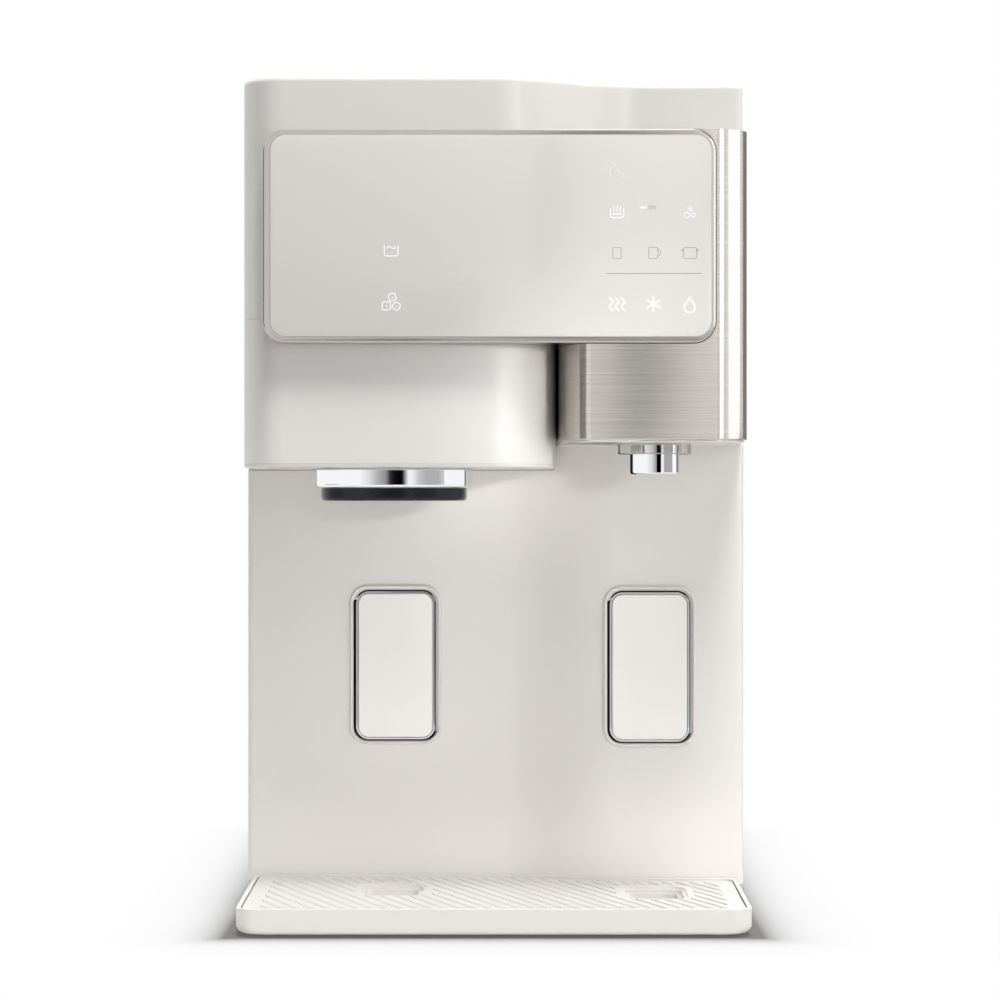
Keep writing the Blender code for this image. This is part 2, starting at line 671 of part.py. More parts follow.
METAL_Y = FRONT_Y + METAL_SETBACK
TAP_PLATE_Z = TAP_BAY_Z + TAP_PLATE_RECESS
TAP_PLATE_TOP_Z = TAP_PLATE_Z + TAP_PLATE_THICKNESS
SPIGOT_TOP_Z = TAP_PLATE_TOP_Z + SPIGOT_RISE


def metal_path():
    """The metal cover in plan: a long rounded left end, a flat front and a rounded right corner."""
    return (
        [(METAL_LEFT_X, SPLIT_Y - SEAT_GAP)]
        + arc(METAL_LEFT_X + METAL_CORNER_WIDTH, METAL_Y + METAL_CORNER_DEPTH,
              METAL_CORNER_WIDTH, METAL_CORNER_DEPTH, 180, 270, CURVE_STEPS)
        + arc(METAL_FRONT_HALF - METAL_RIGHT_RADIUS, METAL_Y + METAL_RIGHT_RADIUS,
              METAL_RIGHT_RADIUS, METAL_RIGHT_RADIUS, 270, 360)
        + [(HALF_WIDTH, SPLIT_Y - SEAT_GAP)]
    )


def build_water_side():
    path = metal_path()
    rear = SPLIT_Y + CUT_OVERRUN
    cover = cut(
        prism(region(path), TAP_BAY_Z, METAL_TOP_Z),
        prism(region(path, METAL_WALL, rear), TAP_BAY_Z - CUT_OVERRUN, METAL_TOP_Z - METAL_WALL),
        prism(panel_outline(-SEAT_GAP), METAL_Y - CUT_OVERRUN, PANEL_REAR_Y + SEAT_GAP, "Y"))
    piece("metal_cover", cover, STEEL, (0, METAL_Y, TAP_BAY_Z))
    plate = prism(region(path, METAL_WALL + SEAT_GAP), TAP_PLATE_Z, TAP_PLATE_TOP_Z)
    hole = rod((WATER_X, TAP_Y, 0), SPIGOT_RADIUS + SEAT_GAP, TAP_PLATE_Z - CUT_OVERRUN,
               TAP_PLATE_TOP_Z + CUT_OVERRUN, "Z", ROUND_SEGMENTS)
    piece("tap_housing_base", cut(plate, hole), WARM_WHITE, (WATER_X, TAP_Y, TAP_PLATE_Z))
    nozzle = turned([
        (NOZZLE_BORE_RADIUS, NOZZLE_BOTTOM_Z), (NOZZLE_RADIUS, NOZZLE_BOTTOM_Z),
        (NOZZLE_RADIUS, TAP_PLATE_Z - SEAT_GAP), (SPIGOT_RADIUS, TAP_PLATE_Z - SEAT_GAP),
        (SPIGOT_RADIUS, SPIGOT_TOP_Z), (INLET_BORE_RADIUS, SPIGOT_TOP_Z),
        (INLET_BORE_RADIUS, TAP_PLATE_TOP_Z), (NOZZLE_BORE_RADIUS, TAP_PLATE_TOP_Z)], (WATER_X, TAP_Y, 0))
    piece("tap_nozzle", nozzle, CHROME, (WATER_X, TAP_Y, NOZZLE_BOTTOM_Z))
    inner = NOZZLE_RADIUS + SEAT_GAP
    collar = turned([
        (inner, COLLAR_BOTTOM_Z), (COLLAR_RADIUS, COLLAR_BOTTOM_Z),
        (COLLAR_RADIUS, TAP_PLATE_Z - SEAT_GAP), (inner, TAP_PLATE_Z - SEAT_GAP)], (WATER_X, TAP_Y, 0))
    piece("nozzle_collar", collar, CLEAR, (WATER_X, TAP_Y, COLLAR_BOTTOM_Z))


# Control panel

PANEL_LEFT_X = -129.1 * MM
PANEL_RIGHT_X = 124 * MM
PANEL_DROP = 31.2 * MM
PANEL_HEIGHT = 119.4 * MM
GLASS_UPPER_MARGIN = 3.1 * MM
GLASS_LOWER_MARGIN = 3.5 * MM
PANEL_TOP_Z = OVERALL_HEIGHT - PANEL_DROP
PANEL_BOTTOM_Z = PANEL_TOP_Z - PANEL_HEIGHT
PANEL_RADIUS = 12.5 * MM
PANEL_SETBACK = 8.8 * MM
PANEL_BEVEL = 2.5 * MM
PANEL_WALL = 3 * MM
PANEL_WEB = 2 * MM
GLASS_LEFT_X = -124.9 * MM
GLASS_RIGHT_X = 121.5 * MM
GLASS_BOTTOM_Z = PANEL_BOTTOM_Z + GLASS_LOWER_MARGIN
GLASS_TOP_Z = PANEL_TOP_Z - GLASS_UPPER_MARGIN
GLASS_RADIUS = 9 * MM
GLASS_THICKNESS = 3 * MM
GLASS_PROUD = 0.7 * MM
DISPLAY_BOARD_THICKNESS = 1.6 * MM
DISPLAY_BOARD_MARGIN = 8 * MM

PANEL_Y = FRONT_Y + PANEL_SETBACK
PANEL_REAR_Y = HOUSING_Y + HOOD_STEP + COVER_WALL
GLASS_REAR_Y = PANEL_Y - GLASS_PROUD + GLASS_THICKNESS
WEB_REAR_Y = GLASS_REAR_Y + SEAT_GAP + PANEL_WEB


def panel_outline(inset=0.0):
    return rounded_rect(
        PANEL_LEFT_X + inset, PANEL_RIGHT_X - inset, PANEL_BOTTOM_Z + inset, PANEL_TOP_Z - inset,
        PANEL_RADIUS - inset)


def glass_outline(inset=0.0):
    return rounded_rect(
        GLASS_LEFT_X + inset, GLASS_RIGHT_X - inset, GLASS_BOTTOM_Z + inset, GLASS_TOP_Z - inset,
        GLASS_RADIUS - inset)


def build_panel():
    frame = loft_mesh(
        [panel_outline(PANEL_BEVEL), panel_outline(), panel_outline()],
        [PANEL_Y, PANEL_Y + PANEL_BEVEL, PANEL_REAR_Y], "Y")
    pocket = prism(glass_outline(-SEAT_GAP), PANEL_Y - CUT_OVERRUN, GLASS_REAR_Y + SEAT_GAP, "Y")
    hollow = prism(panel_outline(PANEL_WALL), WEB_REAR_Y, PANEL_REAR_Y + CUT_OVERRUN, "Y")
    rear = SPLIT_Y + CUT_OVERRUN
    hood_room = prism(region(hood_path(), -SEAT_GAP, rear), HOOD_SEAM_Z - SEAT_GAP, OVERALL_HEIGHT)
    ice_room = prism(region(ice_path(), -SEAT_GAP, rear), ICE_BAY_Z, HOOD_SEAM_Z)
    piece("panel_frame", cut(frame, pocket, hollow, hood_room, ice_room), TRIM, (0, PANEL_Y, PANEL_BOTTOM_Z))
    glass = prism(glass_outline(), PANEL_Y - GLASS_PROUD, GLASS_REAR_Y, "Y")
    piece("panel_glass", glass, GLASS, (0, PANEL_Y, GLASS_BOTTOM_Z))
    margin = DISPLAY_BOARD_MARGIN
    board_front = WEB_REAR_Y + SEAT_GAP
    board = prism(
        rect(PANEL_LEFT_X + margin, PANEL_RIGHT_X - margin, PANEL_BOTTOM_Z + margin, PANEL_TOP_Z - margin),
        board_front, board_front + DISPLAY_BOARD_THICKNESS, "Y")
    piece("display_board", board, BOARD, (0, board_front, PANEL_BOTTOM_Z))


# Levers, each with its chrome frame, in a housing behind the splash wall

FACE_WIDTH = 45.2 * MM
FACE_HEIGHT = 87.4 * MM
FACE_RADIUS = 6.4 * MM
FACE_THICKNESS = 3 * MM
FACE_CROWN = 1 * MM
LEVER_FRAME_WIDTH = 49.2 * MM
LEVER_FRAME_HEIGHT = 90.8 * MM
LEVER_FRAME_RADIUS = 8 * MM
LEVER_FRAME_DEPTH = 4 * MM
LEVER_FRAME_WALL = 1.6 * MM
LEVER_RECESS = 0.4 * MM
LEVER_HOUSING_DEPTH = 20 * MM
LEVER_HOUSING_WALL = 1.8 * MM
LEVER_PIN_RADIUS = 1.5 * MM
LEVER_PIN_PLAY = 0.1 * MM
LEVER_PIN_DROP = 5 * MM
LEVER_ARM_THICKNESS = 5 * MM
SWITCH_BODY_WIDTH = 20 * MM
SWITCH_BODY_HEIGHT = 12 * MM
SWITCH_BODY_DEPTH = 7 * MM
SWITCH_BODY_RISE = 18 * MM
SPRING_RADIUS = 2.3 * MM
SPRING_WIRE = 0.6 * MM


def build_lever(name, x, wall_y):
    front = wall_y + LEVER_RECESS
    pin_y = front + LEVER_FRAME_DEPTH + LEVER_ARM_THICKNESS / 2
    top = LEVER_Z + LEVER_FRAME_HEIGHT / 2
    pin_z = top - LEVER_PIN_DROP
    pivot = axis_empty(name + "_lever_pivot", (x, pin_y, pin_z))

    outer = centred_rect(x, LEVER_Z, LEVER_FRAME_WIDTH, LEVER_FRAME_HEIGHT, LEVER_FRAME_RADIUS)
    frame = prism(outer, front, front + LEVER_FRAME_DEPTH, "Y")
    seat_depth = front + FACE_THICKNESS + SEAT_GAP - FACE_CROWN
    full = centred_rect(x, LEVER_Z, FACE_WIDTH, FACE_HEIGHT, FACE_RADIUS)
    pocket = prism(offset_path(full, -SEAT_GAP, closed=True), front - CUT_OVERRUN, seat_depth, "Y")
    arm_height = LEVER_FRAME_HEIGHT - 2 * LEVER_FRAME_WALL
    frame_rear = front + LEVER_FRAME_DEPTH
    arm = prism(
        centred_rect(x, LEVER_Z, FACE_WIDTH / 2, arm_height, FACE_RADIUS / 2, 2),
        frame_rear - LEVER_FRAME_WALL / 2, frame_rear + LEVER_ARM_THICKNESS, "Y")
    half_room = LEVER_WINDOW_WIDTH / 2
    pin = rod((x, pin_y, pin_z), LEVER_PIN_RADIUS, -half_room - LEVER_HOUSING_WALL + SEAT_GAP,
              half_room + LEVER_HOUSING_WALL - SEAT_GAP, "X")
    piece(name + "_lever", fuse(cut(frame, pocket), arm, pin), CHROME, parent=pivot)
    crowned = centred_rect(x, LEVER_Z, FACE_WIDTH - 2 * FACE_CROWN, FACE_HEIGHT - 2 * FACE_CROWN,
                           FACE_RADIUS - FACE_CROWN)
    face = loft_mesh([crowned, full, full],
                     [front - FACE_CROWN, front, front + FACE_THICKNESS - FACE_CROWN], "Y")
    piece(name + "_lever_face", face, LEVER_WHITE, parent=pivot)

    low, high = LEVER_Z - LEVER_WINDOW_HEIGHT / 2, LEVER_Z + LEVER_WINDOW_HEIGHT / 2
    start = wall_y + COVER_WALL + SEAT_GAP
    rear = start + LEVER_HOUSING_DEPTH
    wall = LEVER_HOUSING_WALL
    tub = box(x - half_room - wall, x + half_room + wall, start, rear, low - wall, high + wall)
    switch_low = low + SWITCH_BODY_RISE
    switch = box(
        x - SWITCH_BODY_WIDTH / 2, x + SWITCH_BODY_WIDTH / 2, rear - wall / 2, rear + SWITCH_BODY_DEPTH,
        switch_low, switch_low + SWITCH_BODY_HEIGHT)
    room = box(x - half_room, x + half_room, start - CUT_OVERRUN, rear - wall, low, high)
    bore = rod((x, pin_y, pin_z), LEVER_PIN_RADIUS + LEVER_PIN_PLAY, -half_room - wall - CUT_OVERRUN,
               half_room + wall + CUT_OVERRUN, "X")
    piece(name + "_lever_housing", cut(fuse(tub, switch), room, bore), DARK, (x, start, LEVER_Z))

    inner = SPRING_RADIUS - SPRING_WIRE
    arm_edge = FACE_WIDTH / 4 + SEAT_GAP
    spring = turned([
        (inner, arm_edge), (SPRING_RADIUS, arm_edge), (SPRING_RADIUS, half_room - SEAT_GAP),
        (inner, half_room - SEAT_GAP)], (x, pin_y, pin_z), "X", SMALL_SEGMENTS)
    piece(name + "_lever_spring", spring, STAINLESS, (x, pin_y, pin_z))


def build_levers():
    for lever in LEVERS:
        build_lever(*lever)


# Drip tray and its grille

TRAY_FRONT_WIDTH = 288 * MM
TRAY_REAR_WIDTH = 290.6 * MM
TRAY_BOTTOM_Z = 2 * MM
TRAY_TOP_Z = 16.1 * MM
TRAY_CORNER_RADIUS = 11 * MM
TRAY_REAR_RADIUS = 9 * MM
TRAY_SIDE_EDGE = 4.5 * MM
TRAY_WALL = 2.4 * MM
TRAY_FLOOR = 2 * MM
TRAY_LEDGE = 2.6 * MM
TRAY_FOOT_RADIUS = 6 * MM
TRAY_FOOT_INSET = 22 * MM
GRILLE_THICKNESS = 3 * MM
GRILLE_SINK = 0.5 * MM
GRILLE_MARGIN = 5 * MM
GROOVE_PITCH = 8.27 * MM
GROOVE_WIDTH = 1.7 * MM
GROOVE_DEPTH = 0.9 * MM
GROOVE_SLANT_DEG = 22
DRAIN_WIDTH = 37.4 * MM
DRAIN_DEPTH = 53 * MM
DRAIN_RADIUS = 6 * MM
DRAIN_STEP = 3 * MM
DRAIN_MARGIN = 4 * MM


def tray_outline(inset=0.0, side_inset=0.0):
    """The tray in plan, drawn in by the inset. It widens a little to the rear, along the splash wall."""
    front = TRAY_FRONT_WIDTH / 2 - inset - side_inset
    rear = TRAY_REAR_WIDTH / 2 - inset - side_inset
    front_y = FRONT_Y + inset
    radius = max(TRAY_CORNER_RADIUS - inset, EDGE_RADIUS)
    rear_radius = max(TRAY_REAR_RADIUS - inset, EDGE_RADIUS)
    left_y, right_y = ICE_WALL_Y - RUN_GAP, WATER_WALL_Y - RUN_GAP
    step = s_curve(SPLASH_CURVE_LEFT_X, left_y, SPLASH_CURVE_RIGHT_X, right_y)[::-1]
    return (
        arc(-front + radius, front_y + radius, radius, radius, 180, 270)
        + arc(front - radius, front_y + radius, radius, radius, 270, 360)
        + arc(rear - rear_radius, right_y - inset - rear_radius, rear_radius, rear_radius, 0, 90, 3)
        + offset_path(step, inset)
        + arc(-rear + rear_radius, left_y - inset - rear_radius, rear_radius, rear_radius, 90, 180, 3)
    )


def build_tray():
    slide = axis_empty("tray_slide", (0, FRONT_Y, TRAY_BOTTOM_Z))
    lift = axis_empty("grille_lift", (0, FRONT_Y, TRAY_TOP_Z), slide)
    outline = tray_outline()
    foot = tray_outline(EDGE_RADIUS, TRAY_SIDE_EDGE - EDGE_RADIUS)
    side = tray_outline(0, EDGE_RADIUS)
    body = loft_mesh(
        [foot, side, outline, outline],
        [TRAY_BOTTOM_Z, TRAY_BOTTOM_Z + EDGE_RADIUS, TRAY_BOTTOM_Z + TRAY_SIDE_EDGE, TRAY_TOP_Z])
    seat_z = TRAY_TOP_Z - GRILLE_SINK - GRILLE_THICKNESS - SEAT_GAP
    floor_z = TRAY_BOTTOM_Z + TRAY_FLOOR
    seat = prism(tray_outline(TRAY_WALL), seat_z, TRAY_TOP_Z + CUT_OVERRUN)
    basin = prism(tray_outline(TRAY_WALL + TRAY_LEDGE), floor_z, seat_z + CUT_OVERRUN)
    feet = []
    for sign in (-1, 1):
        for y in (FRONT_Y + TRAY_FOOT_INSET, WATER_WALL_Y - TRAY_FOOT_INSET):
            x = sign * (TRAY_FRONT_WIDTH / 2 - TRAY_FOOT_INSET)
            feet.append(rod((x, y, 0), TRAY_FOOT_RADIUS, 0, floor_z - TRAY_FLOOR / 2))
    piece("drip_tray", fuse(cut(body, seat, basin), *feet), WARM_WHITE, parent=slide)

    grille_z = seat_z + SEAT_GAP
    top_z = grille_z + GRILLE_THICKNESS
    inset = TRAY_WALL + RUN_GAP
    plate = prism(tray_outline(inset), grille_z, top_z)
    step_z = top_z - GRILLE_THICKNESS / 2
    drains, steps, margins = [], [], []
    for x, y in ((ICE_X, CHUTE_Y), (WATER_X, TAP_Y)):
        radius, gap = DRAIN_RADIUS, 2 * DRAIN_STEP
        margin = 2 * DRAIN_MARGIN
        steps.append(prism(centred_rect(x, y, DRAIN_WIDTH, DRAIN_DEPTH, radius), step_z, top_z + CUT_OVERRUN))
        drains.append(prism(
            centred_rect(x, y, DRAIN_WIDTH - gap, DRAIN_DEPTH - gap, radius - DRAIN_STEP),
            grille_z - CUT_OVERRUN, step_z + CUT_OVERRUN))
        margins.append(prism(
            centred_rect(x, y, DRAIN_WIDTH + margin, DRAIN_DEPTH + margin, radius + DRAIN_MARGIN),
            grille_z - CUT_OVERRUN, top_z + 2 * CUT_OVERRUN))
    middle = tray_outline(inset + GRILLE_MARGIN)
    field = cut(prism(middle, top_z - GROOVE_DEPTH, top_z + CUT_OVERRUN), *margins)
    slant = math.radians(GROOVE_SLANT_DEG)
    length = WATER_BAY_DEPTH + SPLASH_STEP
    middle_y = FRONT_Y + length / 2
    reach = TRAY_REAR_WIDTH / 2 + length / 2 * math.tan(slant)
    count = 2 * math.floor(reach / GROOVE_PITCH) + 1
    grooves = []
    for index in range(count):
        bar = box(-GROOVE_WIDTH / 2, GROOVE_WIDTH / 2, -length, length, grille_z, top_z + 2 * CUT_OVERRUN)
        centre = (index - (count - 1) / 2) * GROOVE_PITCH
        bar.transform(Matrix.Translation((centre, middle_y, 0)) @ Matrix.Rotation(slant, 4, "Z"))
        groove = boolean(field.copy(), [bar], "INTERSECT")
        if groove.polygons:
            grooves.append(groove)
    piece("drip_grille", cut(plate, *grooves, *steps, *drains), WARM_WHITE, parent=lift)


# Middle deck on its four posts, which carries everything in the upper half

SHEET = 2 * MM
POST_SIZE = 10 * MM
MID_DECK_TOP_Z = ICE_PLATE_TOP_Z
HOSE_HOLE_RADIUS = 7 * MM
TANK_X = WATER_X
COLD_TANK_Y = -30 * MM
HOT_TANK_Y = 72 * MM

MID_DECK_Z = MID_DECK_TOP_Z - SHEET


def build_mid_deck():
    front, rear = SPLIT_Y + SEAT_GAP, REAR_Y - COVER_WALL - SEAT_GAP
    deck = box(-INNER_X, INNER_X, front, rear, MID_DECK_Z, MID_DECK_TOP_Z)
    pan_front, pan_side = PAN_FRONT_Y + PAN_WALL + SEAT_GAP, INNER_X - PAN_WALL - SEAT_GAP
    pan_rear = PAN_REAR_Y - PAN_WALL - SEAT_GAP
    posts = []
    for sign in (-1, 1):
        x_low = min(sign * pan_side, sign * (pan_side - POST_SIZE))
        for y_low in (pan_front, pan_rear - POST_SIZE):
            posts.append(box(x_low, x_low + POST_SIZE, y_low, y_low + POST_SIZE,
                             PAN_TOP_Z + SEAT_GAP, MID_DECK_Z + SHEET / 2))
    holes = [
        rod((TANK_X, y, 0), HOSE_HOLE_RADIUS, MID_DECK_Z - CUT_OVERRUN, MID_DECK_TOP_Z + CUT_OVERRUN)
        for y in (COLD_TANK_Y, HOT_TANK_Y)]
    piece("mid_deck", cut(fuse(deck, *posts), *holes), GALVANISED, (0, 0, MID_DECK_Z))


# Ice bin with its auger, and the chute with its gate

BIN_LEFT_X = -134 * MM
BIN_RIGHT_X = 18 * MM
BIN_SETBACK = 18 * MM
BIN_REAR_Y = 80 * MM
BIN_RISE = 28.5 * MM
BIN_HEIGHT = 93 * MM
BIN_WALL = 2.5 * MM
BIN_LEG = 9 * MM
AUGER_RADIUS = 20 * MM
AUGER_PITCH = 36 * MM
AUGER_BLADE = 2.6 * MM
AUGER_SHAFT_RADIUS = 4 * MM
AUGER_PLAY = 0.1 * MM
AUGER_CLEARANCE = 4 * MM
AUGER_END_GAP = 12 * MM
AUGER_TURN_STEPS = 10
MOTOR_RADIUS = 18 * MM
MOTOR_LENGTH = 34 * MM
GEARBOX_WIDTH = 46 * MM
GEARBOX_LENGTH = 18 * MM
SOCKET_DEPTH = 8 * MM
GATE_THICKNESS = 1.8 * MM
GATE_BARREL_RADIUS = 1.8 * MM
GATE_PIN_RADIUS = 1 * MM
GATE_DROP = 6 * MM
GATE_MOTOR_LENGTH = 22 * MM
GATE_MOTOR_HEIGHT = 20 * MM

BIN_FRONT_Y = HOUSING_Y + BIN_SETBACK
BIN_FLOOR_Z = ICE_PLATE_TOP_Z + BIN_RISE
BIN_TOP_Z = BIN_FLOOR_Z + BIN_HEIGHT
AUGER_Z = BIN_FLOOR_Z + BIN_WALL + AUGER_CLEARANCE + AUGER_RADIUS


def build_bin():
    body = box(BIN_LEFT_X, BIN_RIGHT_X, BIN_FRONT_Y, BIN_REAR_Y, BIN_FLOOR_Z, BIN_TOP_Z)
    room = box(
        BIN_LEFT_X + BIN_WALL, BIN_RIGHT_X - BIN_WALL, BIN_FRONT_Y + BIN_WALL, BIN_REAR_Y - BIN_WALL,
        BIN_FLOOR_Z + BIN_WALL, BIN_TOP_Z + CUT_OVERRUN)
    outlet = prism(
        centred_rect(ICE_X, CHUTE_Y, CHUTE_WIDTH, CHUTE_DEPTH, EDGE_RADIUS, 1),
        BIN_FLOOR_Z - CUT_OVERRUN, BIN_FLOOR_Z + BIN_WALL + CUT_OVERRUN)
    bore = rod((ICE_X, 0, AUGER_Z), AUGER_SHAFT_RADIUS + AUGER_PLAY, BIN_FRONT_Y - CUT_OVERRUN,
               BIN_REAR_Y + CUT_OVERRUN, "Y", ROUND_SEGMENTS)
    legs = []
    for x_low in (BIN_LEFT_X, BIN_RIGHT_X - BIN_LEG):
        for y_low in (SPLIT_Y + BIN_LEG, BIN_REAR_Y - BIN_LEG):
            legs.append(box(x_low, x_low + BIN_LEG, y_low, y_low + BIN_LEG,
                            MID_DECK_TOP_Z + SEAT_GAP, BIN_FLOOR_Z + BIN_WALL / 2))
    piece("ice_bin", cut(fuse(cut(body, room), *legs), outlet, bore), PALE, (0, BIN_FRONT_Y, BIN_FLOOR_Z))


def helix_blade(length):
    """A blade wound round the Y axis, as one closed strip of square section, from y = 0."""
    steps = math.floor(length / AUGER_PITCH * AUGER_TURN_STEPS)
    inner = AUGER_SHAFT_RADIUS / 2
    work = bmesh.new()
    rings = []
    for step in range(steps + 1):
        angle = 2 * math.pi * step / AUGER_TURN_STEPS
        y = step * AUGER_PITCH / AUGER_TURN_STEPS
        corners = []
        for radius, side in ((inner, 0), (AUGER_RADIUS, 0), (AUGER_RADIUS, 1), (inner, 1)):
            corners.append(work.verts.new(
                (radius * math.cos(angle), y + side * AUGER_BLADE, radius * math.sin(angle))))
        rings.append(corners)
    for first, second in zip(rings, rings[1:]):
        for i in range(4):
            j = (i + 1) % 4
            work.faces.new((first[i], first[j], second[j], second[i]))
    work.faces.new(rings[0][::-1])
    work.faces.new(rings[-1])
    return finished(work)


def build_auger():
    start = BIN_FRONT_Y + BIN_WALL + AUGER_END_GAP
    length = BIN_REAR_Y - BIN_WALL - AUGER_END_GAP - start
    blade = helix_blade(length)
    blade.transform(Matrix.Translation((ICE_X, start, AUGER_Z)))
    shaft = rod((ICE_X, 0, AUGER_Z), AUGER_SHAFT_RADIUS, BIN_FRONT_Y + SEAT_GAP, BIN_REAR_Y + SOCKET_DEPTH,
                "Y", ROUND_SEGMENTS)
    axis = axis_empty("auger_axis", (ICE_X, BIN_REAR_Y, AUGER_Z))
    piece("ice_auger", fuse(shaft, blade), STAINLESS, parent=axis)
    half = GEARBOX_WIDTH / 2
    front = BIN_REAR_Y + SEAT_GAP
    gearbox = box(ICE_X - half, ICE_X + half, front, front + GEARBOX_LENGTH, AUGER_Z - half, AUGER_Z + half)
    can = rod((ICE_X, 0, AUGER_Z), MOTOR_RADIUS, front + GEARBOX_LENGTH / 2,
              front + GEARBOX_LENGTH + MOTOR_LENGTH, "Y", ROUND_SEGMENTS)
    bore = rod((ICE_X, 0, AUGER_Z), AUGER_SHAFT_RADIUS + AUGER_PLAY, front - CUT_OVERRUN,
               BIN_REAR_Y + SOCKET_DEPTH + SEAT_GAP, "Y", ROUND_SEGMENTS)
    piece("auger_motor", cut(fuse(gearbox, can), bore), DARK, (ICE_X, front, AUGER_Z))


def build_chute_and_gate():
    outer_width, outer_depth = CHUTE_WIDTH + 2 * CHUTE_WALL, CHUTE_DEPTH + 2 * CHUTE_WALL
    low, high = ICE_PLATE_TOP_Z + SEAT_GAP, BIN_FLOOR_Z - SEAT_GAP
    duct = prism(
        centred_rect(ICE_X, CHUTE_Y, outer_width, outer_depth, EDGE_RADIUS + CHUTE_WALL, 2), low, high)
    bore = prism(
        centred_rect(ICE_X, CHUTE_Y, CHUTE_WIDTH, CHUTE_DEPTH, EDGE_RADIUS, 2),
        low - CUT_OVERRUN, high + CUT_OVERRUN)
    hinge_y = CHUTE_Y + CHUTE_DEPTH / 2 - GATE_BARREL_RADIUS - RUN_GAP
    hinge_z = high - GATE_DROP
    reach = CHUTE_WIDTH / 2 + CHUTE_WALL
    eye = rod((ICE_X, hinge_y, hinge_z), GATE_PIN_RADIUS + AUGER_PLAY, -reach - CUT_OVERRUN,
              reach + CUT_OVERRUN, "X")
    piece("ice_chute", cut(duct, bore, eye), PALE, (ICE_X, CHUTE_Y, low))
    axis = axis_empty("gate_hinge", (ICE_X, hinge_y, hinge_z))
    half = CHUTE_WIDTH / 2 - RUN_GAP
    front = CHUTE_Y - CHUTE_DEPTH / 2 + RUN_GAP
    plate = box(ICE_X - half, ICE_X + half, front, hinge_y,
                hinge_z - GATE_THICKNESS / 2, hinge_z + GATE_THICKNESS / 2)
    barrel = rod((ICE_X, hinge_y, hinge_z), GATE_BARREL_RADIUS, -half, half, "X")
    pin = rod((ICE_X, hinge_y, hinge_z), GATE_PIN_RADIUS, -reach + SEAT_GAP, reach - SEAT_GAP, "X")
    piece("ice_gate", fuse(plate, barrel, pin), PALE, parent=axis)
    side = ICE_X + reach + SEAT_GAP
    motor_half = GATE_MOTOR_HEIGHT / 2
    motor = box(side, side + GATE_MOTOR_LENGTH, hinge_y - motor_half, hinge_y + motor_half,
                hinge_z - motor_half, hinge_z + motor_half / 2)
    piece("gate_motor", motor, DARK, (side, hinge_y, hinge_z))


# Ice maker over the bin: a frame, the evaporator with its fingers, and a water tray that tips

FRAME_WALL = 2.5 * MM
FRAME_FRONT_Y = -12 * MM
FRAME_HEIGHT = 77 * MM
FRAME_TOP_Z = BIN_TOP_Z + FRAME_HEIGHT
EVAPORATOR_Y = 28 * MM
EVAPORATOR_DEPTH = 24 * MM
EVAPORATOR_RISE = 61 * MM
EVAPORATOR_Z = BIN_TOP_Z + EVAPORATOR_RISE
EVAPORATOR_HEIGHT = 12 * MM
FINGER_COUNT = 8
FINGER_PITCH = 14.5 * MM
FINGER_RADIUS = 5.5 * MM
FINGER_LENGTH = 34 * MM
TIP_SHARE = 0.6
WATER_TRAY_LENGTH = 122 * MM
WATER_TRAY_FRONT_Y = 2 * MM
WATER_TRAY_REAR_Y = 54 * MM
WATER_TRAY_RISE = 18 * MM
WATER_TRAY_Z = BIN_TOP_Z + WATER_TRAY_RISE
WATER_TRAY_HEIGHT = 20 * MM
WATER_TRAY_WALL = 2 * MM
TRAY_PIVOT_Y = 62 * MM
TRAY_PIVOT_RISE = 8 * MM
TRAY_PIVOT_Z = WATER_TRAY_Z + TRAY_PIVOT_RISE
TRAY_PIN_RADIUS = 2 * MM
TRAY_LUG_RADIUS = 5 * MM
TRAY_MOTOR_WIDTH = 24 * MM
TRAY_MOTOR_LENGTH = 20 * MM


